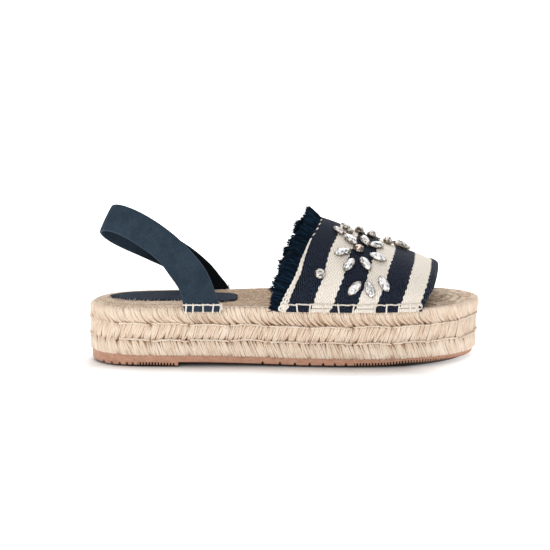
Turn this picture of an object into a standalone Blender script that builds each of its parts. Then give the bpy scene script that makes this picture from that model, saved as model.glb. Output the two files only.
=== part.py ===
"""Slingback espadrille sandal for the right foot, women's EU 38.

A flat platform of three jute braid rows stands on a moulded rubber outsole. A striped cotton vamp
with a cut fringe and faceted stones covers the forefoot, and a suede strap runs round the heel.
+X points to the toe, -Y to the lateral side, +Z up; the ground is z = 0.
"""

import math
import random

import bmesh
import bpy
import numpy as np
from mathutils import Matrix

MM = 0.001  # every size below is in millimetres; meshes are made in metres
GAP = 0.3  # clearance between pieces that are glued, sewn or stacked

# ------------------------------------------------------------------ sole: sizes
OUTLINE = (  # x, y: the rope's outermost line seen from above, from the heel along the lateral side
    (-126, 0), (-118, -20.4), (-98, -31.6), (-65, -34.7), (-25, -36.3), (15, -41.3), (50, -45.1),
    (80, -42.5), (105, -32.2), (121, -13.7), (126, 5.9), (119, 25.4), (100, 38.1), (70, 44.4),
    (40, 45.2), (5, 39.9), (-30, 34.8), (-65, 33.7), (-98, 31.1), (-118, 19.9),
)
SOLE_STATIONS = (  # x, how far the rows rise at the heel and at the toe, height of the rim and inside it
    (-130, 1.00, 0.0, 38.9, 40.2),
    (-60, 1.00, 0.0, 38.9, 40.2),
    (-20, 0.43, 0.0, 38.9, 39.3),
    (10, 0.00, 0.0, 38.7, 39.0),
    (70, 0.00, 0.1, 38.4, 38.6),
    (90, 0.00, 0.6, 38.2, 38.4),
    (130, 0.00, 1.0, 38.1, 38.3),
)
ROW_LINES = (  # height of the line under each rope row where the sole is flat, its share of both rises
    (5.85, 1.0, 0.0),
    (16.30, 1.0, 0.5),
    (26.70, 0.8, 1.4),
)
STRANDS = 84  # slanted strands round each rope row
LEAN = 0.55  # how far a strand leans along the side for each millimetre of height
RIB = 0.8  # how far a strand stands out from the row's mean face
RIB_VALLEY = 0.4  # depth between two strands, as a share of that
GROOVE_INSET = 1.6  # how deep the line between two rows lies
STRAND_SHOULDER = 2.0  # a strand reaches its full depth this far from the line
TOP_EDGE = (  # height under the rim, inset, rib: the top row's strands end and turn over the edge
    (-5.6, RIB, RIB),
    (-4.4, 0.35, 0.0),
    (-1.1, 0.7, 0.0),
    (0.0, 3.2, 0.0),
)
CROWN_INSET = 10.0  # the top is flat inside this line
CUT_LIMIT = 126  # half the sole's length
SHARP_RIB = 30  # degrees between two faces of the sole that look like an edge

# ------------------------------------------------------------------ outsole: sizes
TREAD_PROFILE = (  # x, height of the outsole's underside: heel block, breast, arch, forefoot, toe spring
    (-130, 1.5),
    (-115, 0.0),
    (-70.2, 0.0),
    (-69.8, 2.5),
    (8, 0.0),
    (75, 0.0),
    (90, 0.56),
    (108, 1.45),
    (130, 2.88),
)
TREAD_GROOVES = (  # first groove's x, pitch, how many
    (-112, 6.0, 3),
    (-4, 9.0, 5),
)
TREAD_GROOVE_WIDTH = 1.4
TREAD_GROOVE_DEPTH = 1.1
TREAD_GROOVE_SLOPE = 0.3  # how far its walls lean
OUTSOLE_COLUMNS = 96
OUTSOLE_EDGE = (  # height above the underside or below the top, inset from the outline
    (0.0, 6.5),
    (1.4, 3.1),
    (0.0, 2.6),
)

# ------------------------------------------------------------------ heel pad: sizes
PAD_FRONT_X = -31.0
PAD_CORNER = 9.0  # radius of its front corners
PAD_INSETS = (  # x, inset of its edge from the outline
    (-126, 12.9),
    (-118, 15.6),
    (-98, 16.4),
    (-65, 16.8),
    (-30, 20.5),
)
PAD_THICKNESS = 0.8
PAD_GAP = 0.4
PAD_STATIONS = 40

# ------------------------------------------------------------------ vamp: sizes
WALL = 1.6
STITCH_Z = 41.5  # line where the vamp and the strap are sewn on
HEM_Z = 36.5  # lower end of what hangs outside the rope's side
HEM_CLEARANCE = 0.15  # from the rope's outline to the inner face of what is sewn outside it
VAMP_SECTIONS = (  # x at the lateral and medial stitch lines, ridge x, y, z, fullness of the arch, sweep
    (-4.8, 5.0, 22.9, 5.0, 90.6, 2.00, 1.46),  # back edge
    (87.4, 95.5, 99.0, 3.0, 60.6, 2.20, 1.20),  # front edge
)
HEM_SLOPE = 0.5  # how far the edges run back for each millimetre below the stitch line
VAMP_ALONG = 14  # grid of the vamp: stations from back to front
VAMP_ROUND = 31  # and from one stitch line to the other

# ------------------------------------------------------------------ fringe: sizes
LOCKS = 44
FRINGE_END = 1.96  # how far down it goes on both sides: 1 is the stitch line, 2 the hem
FRINGE_LENGTH = (  # share of the way from the stitch line up to the ridge, length of the fringe
    (-1.0, 5.7),
    (0.0, 8.0),
    (0.10, 10.4),
    (0.34, 13.2),
    (0.43, 14.0),
    (0.60, 13.1),
    (1.0, 11.4),
)
FRINGE_HALF = (0.75, 0.7, 0.45)  # half its thickness at the root, the middle and the tips
FRINGE_ROOT_SHARE = 0.4  # the locks part this far along
FRINGE_FLARE = (3.0, 8.5)  # degrees off the vamp's own slope, at the stitch line and at the ridge
LOCK_TIP_SHARE = 0.66  # width of a lock's tip as a share of its root
LOCK_UNEVEN = 0.1  # how much the locks differ in length, as a share
LOCK_SWAY = 0.12  # how far a tip leans sideways, as a share of the lock's width

# ------------------------------------------------------------------ heel strap: sizes
STRAP_THICKNESS = 2.0
STRAP_FEET = (  # side, front edge x at the hem and at the stitch line, rear edge x at both
    (-1, -43.4, -44.1, -66.0, -66.9),
    (1, -34.6, -36.2, -55.6, -56.6),
)
STRAP_ROUTE = (  # upper edge x, y, z and lower edge x, y, z, from the lateral foot round to the medial one
    (-45.9, -36.0, 47.4, -67.8, -35.0, 46.9),
    (-49.4, -34.2, 57.0, -72.4, -31.0, 55.0),
    (-53.0, -32.4, 63.8, -76.0, -28.5, 59.8),
    (-58.1, -30.5, 70.3, -79.6, -26.0, 64.6),
    (-70.2, -25.5, 82.4, -88.6, -21.0, 72.4),
    (-85.8, -19.0, 93.3, -99.8, -15.6, 79.3),
    (-98.5, -12.6, 99.2, -109.0, -10.6, 83.2),
    (-107.8, -6.0, 100.9, -116.0, -5.6, 84.0),
    (-110.6, 0.5, 98.7, -118.6, 0.5, 82.0),
    (-107.8, 7.5, 94.6, -115.4, 7.0, 77.0),
    (-98.8, 13.4, 89.8, -106.2, 13.2, 70.5),
    (-84.0, 18.3, 82.4, -93.4, 19.0, 63.7),
    (-68.2, 22.0, 73.8, -80.8, 25.0, 56.9),
    (-55.1, 26.6, 63.8, -69.8, 29.6, 50.9),
    (-44.4, 31.0, 52.6, -62.0, 33.0, 45.6),
    (-39.6, 34.2, 46.0, -59.0, 34.6, 43.4),
)
STRAP_SECTIONS = 40
SHARP_EDGE = 40  # degrees between two faces of a sewn piece or a stone that look like an edge

# ------------------------------------------------------------------ stones: sizes
STONE_SEAT = 0.4  # from the vamp's face to a stone's flat back
STONE_PROFILE = (  # share of its outline, height above its back: claw cup, girdle, flat top
    (0.84, 0.0),
    (1.0, 1.3),
    (0.5, 2.7),
)
STONE_SIZES = {  # length, width
    "marquise": (11.0, 5.6),
    "round": (6.4, 6.4),
    "bead": (4.2, 4.2),
}
STONE_SIDES = 8
MARQUISE_CORNER = 0.53  # where its slanted sides meet its long ones, as a share of half its length
STONES_EACH_SIDE = (  # kind, along from the back edge, percent of the way up to the ridge, turn in degrees
    ("round", 33.8, 61, 0),  # the flower's centre and its petals
    ("marquise", 26.0, 70, -54),
    ("marquise", 35.9, 76, -25),
    ("marquise", 44.8, 75, 50),
    ("marquise", 48.3, 57, -86),
    ("marquise", 41.8, 45, -46),
    ("marquise", 31.4, 40, 14),
    ("marquise", 24.0, 52, 50),
    ("marquise", 40.9, 17, 20),  # the fan under the flower
    ("marquise", 50.6, 17, -42),
    ("marquise", 58.5, 25, -47),
    ("round", 15.2, 27, 0),  # strays towards the throat
    ("marquise", 14.8, 80, -60),
    ("bead", 19.8, 88, 0),
    ("bead", 23.5, 83, 0),
)
STONES_ON_RIDGE = (
    ("round", 29.8, 94, 0),
    ("round", 39.4, 96, 0),
    ("round", 52.0, 96, 0),
    ("marquise", 62.6, 99, 90),
)

# ------------------------------------------------------------------ materials
MATERIALS = {  # red, green, blue of 255, roughness
    "jute": ((208, 186, 160), 0.9),
    "rubber": ((173, 132, 110), 0.55),
    "strap_suede": ((50, 64, 78), 0.85),
    "pad_suede": ((44, 54, 66), 0.9),
    "striped_cotton": ((35, 41, 54), 0.9),
    "fringe_cotton": ((24, 38, 56), 0.95),
    "crystal": ((214, 216, 220), 0.08),
}


# ------------------------------------------------------------------ curves
def second_derivatives(times, values, closed):
    """The cubic spline's second derivatives at its points, natural at the ends unless it is closed."""
    count = len(values)
    steps = np.diff(times)
    matrix = np.zeros((count, count))
    right = np.zeros_like(values)
    for i in range(count):
        if not closed and i in (0, count - 1):
            matrix[i, i] = 1.0
            continue
        before, after = steps[i - 1], steps[i % len(steps)]
        following = (i + 1) % count
        matrix[i, i - 1] += before / 6
        matrix[i, i] += (before + after) / 3
        matrix[i, following] += after / 6
        right[i] = (values[following] - values[i]) / after - (values[i] - values[i - 1]) / before
    return np.linalg.solve(matrix, right)


def smooth_curve(points, closed=False, power=0.5, samples=4000):
    """Points close together on a cubic spline, with each one's share of the curve's length."""
    values = np.array(points, float)
    ends = np.vstack([values, values[:1]]) if closed else values
    times = np.r_[0.0, np.cumsum(np.linalg.norm(np.diff(ends, axis=0), axis=1) ** power)]
    bends = second_derivatives(times, values, closed)
    if closed:
        bends = np.vstack([bends, bends[:1]])
    at = np.linspace(0, times[-1], samples)
    left = np.clip(np.searchsorted(times, at, side="right") - 1, 0, len(times) - 2)
    step = (times[left + 1] - times[left])[:, None]
    done = at[:, None] - times[left][:, None]
    rest = step - done
    curve = (
        bends[left] * rest**3 / (6 * step)
        + bends[left + 1] * done**3 / (6 * step)
        + (ends[left] / step - bends[left] * step / 6) * rest
        + (ends[left + 1] / step - bends[left + 1] * step / 6) * done
    )
    length = np.r_[0.0, np.cumsum(np.linalg.norm(np.diff(curve, axis=0), axis=1))]
    return curve, length / length[-1]


RING, RING_SHARE = smooth_curve(OUTLINE, closed=True)
RING_STEP = np.gradient(RING, axis=0)
RING_OUT = np.c_[RING_STEP[:, 1], -RING_STEP[:, 0]] / np.linalg.norm(RING_STEP, axis=1)[:, None]
TOE_INDEX = int(RING[:, 0].argmax())
OUTLINE_LENGTH = float(np.linalg.norm(np.diff(RING, axis=0), axis=1).sum())


def ring_points(shares, inset):
    """Points at shares of the outline's length, moved in from it."""
    shares = np.mod(shares, 1.0)
    point = np.c_[tuple(np.interp(shares, RING_SHARE, RING[:, k]) for k in (0, 1))]
    out = np.c_[tuple(np.interp(shares, RING_SHARE, RING_OUT[:, k]) for k in (0, 1))]
    return point - out * np.reshape(inset, (-1, 1))


def edge_y(x, side):
    """The outline's y at x, on the lateral side (-1) or the medial side (1)."""
    lateral = np.interp(x, RING[:TOE_INDEX, 0], RING[:TOE_INDEX, 1])
    medial = np.interp(x, RING[:TOE_INDEX:-1, 0], RING[:TOE_INDEX:-1, 1])
    return np.where(np.asarray(side) < 0, lateral, medial)


def station_value(column):
    """A function of x that reads one column of the sole's stations."""
    table = np.array(SOLE_STATIONS)
    return lambda x: np.interp(x, table[:, 0], table[:, column])


heel_rise, toe_rise, rim_height, crown_height = (station_value(column) for column in (1, 2, 3, 4))


def row_line(index):
    """A function of x: the height of the line under a rope row."""
    base, at_heel, at_toe = ROW_LINES[index]
    return lambda x: base + at_heel * heel_rise(x) + at_toe * toe_rise(x)


def groove_edges():
    """x and depth at the four corners of each tread groove."""
    half = TREAD_GROOVE_WIDTH / 2
    floor = half - TREAD_GROOVE_SLOPE
    for first, pitch, count in TREAD_GROOVES:
        for i in range(count):
            middle = first + pitch * i
            yield from (
                (middle - half, 0.0),
                (middle - floor, TREAD_GROOVE_DEPTH),
                (middle + floor, TREAD_GROOVE_DEPTH),
                (middle + half, 0.0),
            )


def tread_height(x):
    """The outsole's underside, with its grooves."""
    profile = np.array(TREAD_PROFILE)
    grooves = np.array(sorted(groove_edges()))
    return np.interp(x, profile[:, 0], profile[:, 1]) + np.interp(x, grooves[:, 0], grooves[:, 1])


# ------------------------------------------------------------------ objects
def linear(colour):
    """A display colour as Blender's linear red, green, blue and alpha."""
    return [((c / 255 + 0.055) / 1.055) ** 2.4 for c in colour] + [1.0]


def material(name):
    """A plain Principled material, made once."""
    if name in bpy.data.materials:
        return bpy.data.materials[name]
    colour, roughness = MATERIALS[name]
    made = bpy.data.materials.new(name)
    made.use_nodes = True
    shader = made.node_tree.nodes["Principled BSDF"]
    shader.inputs["Base Color"].default_value = linear(colour)
    shader.inputs["Roughness"].default_value = roughness
    made.diffuse_color = linear(colour)
    return made


def add_object(name, mesh):
    """An object in the scene that shows the mesh."""
    part = bpy.data.objects.new(name, mesh)
    bpy.context.collection.objects.link(part)
    return part


def mesh_from(name, points, faces, finish):
    """A closed mesh from points in millimetres, its faces turned outwards, in the named material."""
    mesh = bpy.data.meshes.new(name)
    mesh.from_pydata((np.asarray(points) * MM).tolist(), [], faces)
    shape = bmesh.new()
    shape.from_mesh(mesh)
    bmesh.ops.recalc_face_normals(shape, faces=shape.faces)
    shape.to_mesh(mesh)
    shape.free()
    mesh.shade_smooth()
    mesh.set_sharp_from_angle(angle=math.radians(SHARP_EDGE))
    mesh.materials.append(material(finish))
    return mesh


def loft_faces(loops, size, closed=True):
    """Quads between loops of equal size, listed one after the other."""
    last = size if closed else size - 1
    for k in range(loops - 1):
        for j in range(last):
            a, b = k * size + j, k * size + (j + 1) % size
            yield (a, b, b + size, a + size)


def slab(name, levels, columns, lean, cuts, finish):
    """A solid inside the outline, level by level from its underside to its top.

    A level is its height as a function of x, an offset from that, its inset and its ribs' height.
    Columns lean along the outline as they rise, and every second one is a rib. The faces are cut
    where the heights change slope, so each piece of the two caps is flat.
    """
    rib_column = np.arange(columns) % 2 == 0
    ground = levels[0][0](0.0) + levels[0][1]
    points = []
    for index, (height, offset, inset, rib) in enumerate(levels):
        moved = lean * (height(0.0) + offset - ground)
        share = np.arange(columns) / columns + moved / OUTLINE_LENGTH
        ring = ring_points(share, np.where(rib_column, inset - rib, inset + rib * RIB_VALLEY))
        points.append(np.c_[ring, np.full(columns, index)])
    points = np.vstack(points)
    faces = list(loft_faces(len(levels), columns))
    faces.append(tuple(range(columns)))
    faces.append(tuple(range((len(levels) - 1) * columns, len(levels) * columns)))

    shape = bmesh.new()
    corners = [shape.verts.new(p) for p in points]
    for face in faces:
        shape.faces.new([corners[i] for i in face])
    for x in cuts:
        everything = shape.verts[:] + shape.edges[:] + shape.faces[:]
        bmesh.ops.bisect_plane(shape, geom=everything, dist=1e-4, plane_co=(x, 0, 0), plane_no=(1, 0, 0))
    for corner in shape.verts:
        below = min(int(corner.co.z + 1e-6), len(levels) - 2)
        low, high = (levels[k][0](corner.co.x) + levels[k][1] for k in (below, below + 1))
        corner.co.z = low + (high - low) * (corner.co.z - below)
        corner.co *= MM
    bmesh.ops.recalc_face_normals(shape, faces=shape.faces)
    mesh = bpy.data.meshes.new(name)
    shape.to_mesh(mesh)
    shape.free()
    mesh.shade_smooth()
    mesh.set_sharp_from_angle(angle=math.radians(SHARP_RIB))
    mesh.materials.append(material(finish))
    return add_object(name, mesh)


# ------------------------------------------------------------------ sole
def make_outsole():
    """The rubber outsole: heel block, arch recess, forefoot, toe spring and tread grooves."""
    (_, foot), (edge_up, edge), (_, top) = OUTSOLE_EDGE
    levels = (
        (tread_height, 0.0, foot, 0.0),
        (tread_height, edge_up, edge, 0.0),
        (row_line(0), -GAP / 2, top, 0.0),
    )
    stations = {x for x, *_ in SOLE_STATIONS + TREAD_PROFILE} | {x for x, _ in groove_edges()}
    cuts = sorted(x for x in stations if abs(x) < CUT_LIMIT)
    return slab("outsole", levels, OUTSOLE_COLUMNS, 0.0, cuts, "rubber")


def make_rope_row(name, index, lean):
    """A rope row between two row lines."""
    lower, upper = row_line(index), row_line(index + 1)
    levels = (
        (lower, GAP / 2, GROOVE_INSET, 0.0),
        (lower, STRAND_SHOULDER, RIB, RIB),
        (upper, -STRAND_SHOULDER, RIB, RIB),
        (upper, -GAP / 2, GROOVE_INSET, 0.0),
    )
    return slab(name, levels, 2 * STRANDS, lean, rope_cuts(), "jute")


def make_top_row():
    """The top rope row, whose strands turn over a rounded rim into the slightly crowned insole."""
    lower = row_line(len(ROW_LINES) - 1)
    levels = (
        (lower, GAP / 2, GROOVE_INSET, 0.0),
        (lower, STRAND_SHOULDER, RIB, RIB),
        *((rim_height, *level) for level in TOP_EDGE),
        (crown_height, 0.0, CROWN_INSET, 0.0),
    )
    return slab("rope_row_upper", levels, 2 * STRANDS, -LEAN, rope_cuts(), "jute")


def rope_cuts():
    """The stations where the rope rows' heights change slope."""
    return [x for x, *_ in SOLE_STATIONS if abs(x) < CUT_LIMIT]


def make_heel_pad():
    """The thin suede sock that lies on the heel's top, square at the front with round corners."""
    around = np.linspace(0, 1, 4001)
    ring = ring_points(around, 0.0)
    lateral = around[np.argmax(ring[:, 0] > PAD_FRONT_X)]
    medial = around[len(around) - np.argmax(ring[::-1, 0] > PAD_FRONT_X)]
    shares = np.linspace(medial - 1, lateral, PAD_STATIONS)
    x = ring_points(shares, 0.0)[:, 0]
    into_corner = np.clip((x - PAD_FRONT_X + PAD_CORNER) / PAD_CORNER, 0, 1)
    corner = PAD_CORNER * (1 - np.sqrt(1 - into_corner**2))
    table = np.array(PAD_INSETS)
    edge = ring_points(shares, np.interp(x, table[:, 0], table[:, 1]) + corner)
    underside = crown_height(edge[:, 0]) + PAD_GAP
    points = np.vstack([np.c_[edge, underside], np.c_[edge, underside + PAD_THICKNESS]])
    faces = list(loft_faces(2, PAD_STATIONS))
    faces.append(tuple(range(PAD_STATIONS)))
    faces.append(tuple(range(PAD_STATIONS, 2 * PAD_STATIONS)))
    return add_object("heel_pad", mesh_from("heel_pad", points, faces, "pad_suede"))


# ------------------------------------------------------------------ vamp
def vamp_point(u, a, clearance=HEM_CLEARANCE + WALL):
    """Outer face of the vamp: u from the back edge (0) to the front edge (1), a from the lateral
    stitch line (-1) over the ridge (0) to the medial one (1), and on down to the hems (-2 and 2)."""
    u, a = np.broadcast_arrays(np.asarray(u, float), np.asarray(a, float))
    back, front = (np.array(row) for row in VAMP_SECTIONS)
    lateral_x, medial_x, ridge_x, ridge_y, ridge_z, fullness, sweep = (
        b + (f - b) * u for b, f in zip(back, front)
    )
    foot_x = np.where(a < 0, lateral_x, medial_x)
    away = np.clip(np.abs(a), 0, 1)  # from the ridge
    climb = (1 - away) * math.pi / 2
    below = np.clip(np.abs(a) - 1, 0, None) * (STITCH_Z - HEM_Z)
    power = 2 / fullness
    z = STITCH_Z + (ridge_z - STITCH_Z) * np.sin(climb) ** power - below
    x = foot_x + (ridge_x - foot_x) * (1 - away**sweep) - below * HEM_SLOPE
    side = np.where(a < 0, -1.0, 1.0)
    foot_y = edge_y(foot_x - below * HEM_SLOPE, side) + side * clearance
    y = ridge_y + (foot_y - ridge_y) * np.cos(climb) ** power
    return np.stack([x, y, z], axis=-1)


def unit(vectors):
    """Vectors made one long."""
    return vectors / np.linalg.norm(vectors, axis=-1, keepdims=True)


def vamp_frame(u, a, step=1e-3):
    """Points on the vamp's outer face with the directions forwards, up round it, and outwards."""
    forwards = unit(vamp_point(u + step, a) - vamp_point(u - step, a))
    around = unit(vamp_point(u, a + step) - vamp_point(u, a - step))
    outwards = unit(np.cross(forwards, around))
    return vamp_point(u, a), unit(np.cross(around, outwards)), around, outwards


def make_vamp():
    """The cotton upper: one wall over the forefoot, open at the toe, the throat and underneath."""
    u = np.linspace(0, 1, VAMP_ALONG)[:, None]
    a = np.r_[-2.0, np.linspace(-1, 1, VAMP_ROUND), 2.0][None, :]
    outer, _, _, outwards = vamp_frame(u, a)
    inner = outer - outwards * WALL
    rows, size = VAMP_ALONG, a.size
    points = np.vstack([outer.reshape(-1, 3), inner.reshape(-1, 3)])
    faces = list(loft_faces(rows, size, closed=False))
    faces += [tuple(i + rows * size for i in reversed(face)) for face in faces]
    rim = list(range(size))
    rim += [k * size + size - 1 for k in range(1, rows)]
    rim += [(rows - 1) * size + j for j in range(size - 2, -1, -1)]
    rim += [k * size for k in range(rows - 2, 0, -1)]
    for here, there in zip(rim, rim[1:] + rim[:1]):
        faces.append((here, there, there + rows * size, here + rows * size))
    return add_object("vamp", mesh_from("vamp", points, faces, "striped_cotton"))


def fringe_layers(a, share, length):
    """Outer and inner points of the fringe at places along the back edge, a share of its length out."""
    point, forwards, _, outwards = vamp_frame(np.zeros_like(a), a)
    up = 1 - np.abs(a)
    flare = np.radians(np.interp(up, (0, 1), FRINGE_FLARE))
    reach = (GAP + share * length)[:, None]
    middle = point - outwards * (WALL / 2) - forwards * reach * np.cos(flare)[:, None]
    middle = middle + outwards * reach * np.sin(flare)[:, None]
    half = np.interp(share, (0, FRINGE_ROOT_SHARE, 1), FRINGE_HALF)
    return middle + outwards * half, middle - outwards * half


def make_fringe():
    """The cut fringe behind the vamp: a band that parts into tapering locks of uneven length."""
    rough = random.Random(11)
    bounds = np.linspace(-FRINGE_END, FRINGE_END, 401)
    steps = np.linalg.norm(np.diff(vamp_point(0, bounds), axis=0), axis=1)
    walked = np.r_[0, np.cumsum(steps)]
    marks = np.interp(np.linspace(0, walked[-1], LOCKS + 1), walked, bounds)
    middles = (marks[1:] + marks[:-1]) / 2
    table = np.array(FRINGE_LENGTH)
    length = np.interp(1 - np.abs(middles), table[:, 0], table[:, 1])
    length = length * np.array([1 + rough.uniform(-LOCK_UNEVEN, LOCK_UNEVEN) for _ in range(LOCKS)])
    seam_length = np.interp(1 - np.abs(marks), table[:, 0], table[:, 1])

    points, faces = [], []

    def add(layers):
        """Two points, outer and inner, and their first index."""
        points.extend(layers)
        return len(points) - 2

    def places(a, share, reach):
        """The index pairs of points at one or more places along the edge."""
        outer, inner = fringe_layers(np.atleast_1d(a), share, np.atleast_1d(reach))
        return [add((o, i)) for o, i in zip(outer, inner)]

    roots = places(marks, 0.0, seam_length)
    parting = places(marks, FRINGE_ROOT_SHARE, seam_length)
    for k in range(LOCKS):
        sway = rough.uniform(-LOCK_SWAY, LOCK_SWAY)
        half = (marks[k + 1] - marks[k]) * LOCK_TIP_SHARE / 2
        middle = middles[k] + sway * (marks[k + 1] - marks[k])
        tips = places(np.array([middle - half, middle + half]), 1.0, np.full(2, length[k]))
        near, far = (roots[k], roots[k + 1]), (parting[k], parting[k + 1])
        faces.append((near[0], near[1], near[1] + 1, near[0] + 1))
        for (p, q), (r, s) in ((near, far), (far, tuple(tips))):
            faces.append((p, r, s, q))
            faces.append((p + 1, q + 1, s + 1, r + 1))
        faces.append((tips[0], tips[0] + 1, tips[1] + 1, tips[1]))
        faces.append((far[0], far[0] + 1, tips[0] + 1, tips[0]))
        faces.append((far[1], tips[1], tips[1] + 1, far[1] + 1))
    for end in (0, LOCKS):
        faces.append((roots[end], roots[end] + 1, parting[end] + 1, parting[end]))
    return add_object("fringe", mesh_from("fringe", points, faces, "fringe_cotton"))


# ------------------------------------------------------------------ heel strap
def strap_rows():
    """The strap's two edges, row by row, from its lateral hem round the heel to its medial hem."""
    feet = []
    for side, front_hem, front_stitch, rear_hem, rear_stitch in STRAP_FEET:
        rows = []
        for front, rear, z in ((front_hem, rear_hem, HEM_Z), (front_stitch, rear_stitch, STITCH_Z)):
            out = side * (HEM_CLEARANCE + STRAP_THICKNESS / 2)
            rows.append((front, edge_y(front, side) + out, z, rear, edge_y(rear, side) + out, z))
        feet.append(rows)
    return np.array(feet[0] + list(STRAP_ROUTE) + feet[1][::-1], float)


def make_heel_strap():
    """The suede sling: a ribbon sewn outside the rope on both sides, standing free round the heel."""
    curve, share = smooth_curve(strap_rows(), power=1.0)
    at = np.linspace(0, 1, STRAP_SECTIONS)
    edges = np.c_[tuple(np.interp(at, share, curve[:, k]) for k in range(6))]
    upper, lower = edges[:, :3], edges[:, 3:]
    along = unit(np.gradient((upper + lower) / 2, axis=0))
    outwards = unit(np.cross(upper - lower, along))
    half = outwards * STRAP_THICKNESS / 2
    points = np.stack([upper + half, lower + half, lower - half, upper - half], axis=1).reshape(-1, 3)
    faces = list(loft_faces(STRAP_SECTIONS, 4))
    faces.append((0, 1, 2, 3))
    faces.append(tuple(range(4 * STRAP_SECTIONS - 4, 4 * STRAP_SECTIONS)))
    return add_object("heel_strap", mesh_from("heel_strap", points, faces, "strap_suede"))


# ------------------------------------------------------------------ stones
def stone_outline(length, width):
    """A pointed oval of two arcs, or a circle where length and width are equal."""
    turns = np.arange(STONE_SIDES) / STONE_SIDES * 2 * math.pi
    if length == width:
        return np.c_[np.cos(turns), np.sin(turns)] * length / 2
    radius = (length**2 + width**2) / (4 * width)
    tips = np.arange(STONE_SIDES) % (STONE_SIDES // 2) == 0
    x = np.sign(np.round(np.cos(turns), 6)) * np.where(tips, 1, MARQUISE_CORNER) * length / 2
    y = np.sqrt(radius**2 - x**2) - (radius - width / 2)
    return np.c_[x, np.sign(np.round(np.sin(turns), 6)) * y]


def stone_mesh(kind):
    """A faceted stone in its cup, lying on z = 0 with its length along X."""
    outline = stone_outline(*STONE_SIZES[kind])
    levels = [np.c_[outline * share, np.full(STONE_SIDES, height)] for share, height in STONE_PROFILE]
    faces = list(loft_faces(len(levels), STONE_SIDES))
    faces.append(tuple(range(STONE_SIDES)))
    faces.append(tuple(range((len(levels) - 1) * STONE_SIDES, len(levels) * STONE_SIDES)))
    return mesh_from("stone_" + kind, np.vstack(levels), faces, "crystal")


def make_stones():
    """One chart of stones on each side of the ridge, mirrored, and a row on the ridge itself."""
    meshes = {kind: stone_mesh(kind) for kind in STONE_SIZES}
    foot_length = VAMP_SECTIONS[1][0] - VAMP_SECTIONS[0][0]
    for place, side, chart in (
        ("lateral", -1, STONES_EACH_SIDE),
        ("medial", 1, STONES_EACH_SIDE),
        ("ridge", -1, STONES_ON_RIDGE),
    ):
        for number, (kind, along, percent, turn) in enumerate(chart, 1):
            u, a = along / foot_length, side * (1 - percent / 100)
            point, forwards, around, outwards = (v.reshape(3) for v in vamp_frame(u, a))
            up = -side * around
            angle = math.radians(turn)
            length = up * math.cos(angle) + forwards * math.sin(angle)
            width = np.cross(outwards, length)
            seat = (point + outwards * STONE_SEAT) * MM
            stone = add_object(f"stone_{place}_{number:02d}_{kind}", meshes[kind])
            columns = np.c_[length, width, outwards, seat]
            stone.matrix_world = Matrix(np.vstack([columns, [0, 0, 0, 1]]).tolist())


# ------------------------------------------------------------------ assembly
def main():
    """Clears the scene and makes every piece."""
    for old in list(bpy.data.objects):
        bpy.data.objects.remove(old, do_unlink=True)
    make_outsole()
    make_rope_row("rope_row_lower", 0, -LEAN)
    make_rope_row("rope_row_middle", 1, LEAN)
    make_top_row()
    make_heel_pad()
    make_vamp()
    make_fringe()
    make_heel_strap()
    make_stones()


main()
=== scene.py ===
"""The looks of a slingback espadrille sandal for the right foot.

Jute braid, striped twill, fringe, stones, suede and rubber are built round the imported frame, in its
coordinates: +X to the toe, -Y the lateral side, +Z up. Sizes are in millimetres unless a name says
otherwise, and the sole and upper follow the same shape values as the solids.
"""

import math

import bpy
import numpy as np
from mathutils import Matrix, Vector
from mathutils.kdtree import KDTree


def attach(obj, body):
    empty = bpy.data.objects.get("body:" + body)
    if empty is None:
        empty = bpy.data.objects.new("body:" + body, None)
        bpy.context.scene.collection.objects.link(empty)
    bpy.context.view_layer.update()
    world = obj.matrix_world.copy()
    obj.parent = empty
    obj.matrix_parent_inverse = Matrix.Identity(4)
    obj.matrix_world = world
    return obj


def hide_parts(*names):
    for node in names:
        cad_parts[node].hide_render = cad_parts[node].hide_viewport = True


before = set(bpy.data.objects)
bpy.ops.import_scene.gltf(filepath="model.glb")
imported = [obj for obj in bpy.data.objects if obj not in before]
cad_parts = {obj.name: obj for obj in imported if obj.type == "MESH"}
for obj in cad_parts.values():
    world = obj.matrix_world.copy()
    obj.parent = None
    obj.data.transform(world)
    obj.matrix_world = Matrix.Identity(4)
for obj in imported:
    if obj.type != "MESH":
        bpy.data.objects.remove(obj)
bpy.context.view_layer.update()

MM = 0.001
UP = np.array([0, 0, 1.0])
TURN = 2 * math.pi

# ------------------------------------------------------------------ shape values shared with the solids
OUTLINE = (  # x, y: the rope's outermost line seen from above, from the heel along the lateral side
    (-126, 0), (-118, -20.4), (-98, -31.6), (-65, -34.7), (-25, -36.3), (15, -41.3), (50, -45.1),
    (80, -42.5), (105, -32.2), (121, -13.7), (126, 5.9), (119, 25.4), (100, 38.1), (70, 44.4),
    (40, 45.2), (5, 39.9), (-30, 34.8), (-65, 33.7), (-98, 31.1), (-118, 19.9),
)
SOLE_STATIONS = (  # x, how far the rows rise at the heel and at the toe, height of the rim and inside it
    (-130, 1.00, 0.0, 38.9, 40.2), (-60, 1.00, 0.0, 38.9, 40.2), (-20, 0.43, 0.0, 38.9, 39.3),
    (10, 0.00, 0.0, 38.7, 39.0), (70, 0.00, 0.1, 38.4, 38.6), (90, 0.00, 0.6, 38.2, 38.4),
    (130, 0.00, 1.0, 38.1, 38.3),
)
ROW_LINES = ((5.85, 1.0, 0.0), (16.30, 1.0, 0.5), (26.70, 0.8, 1.4))  # height under each row, shares of both rises
TREAD_PROFILE = (  # x, height of the outsole's underside
    (-130, 1.5), (-115, 0.0), (-70.2, 0.0), (-69.8, 2.5), (8, 0.0), (75, 0.0), (90, 0.56), (108, 1.45),
    (130, 2.88),
)
WALL = 1.6
STITCH_Z = 41.5
HEM_Z = 36.5
HEM_CLEARANCE = 0.15
HEM_SLOPE = 0.5
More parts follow.
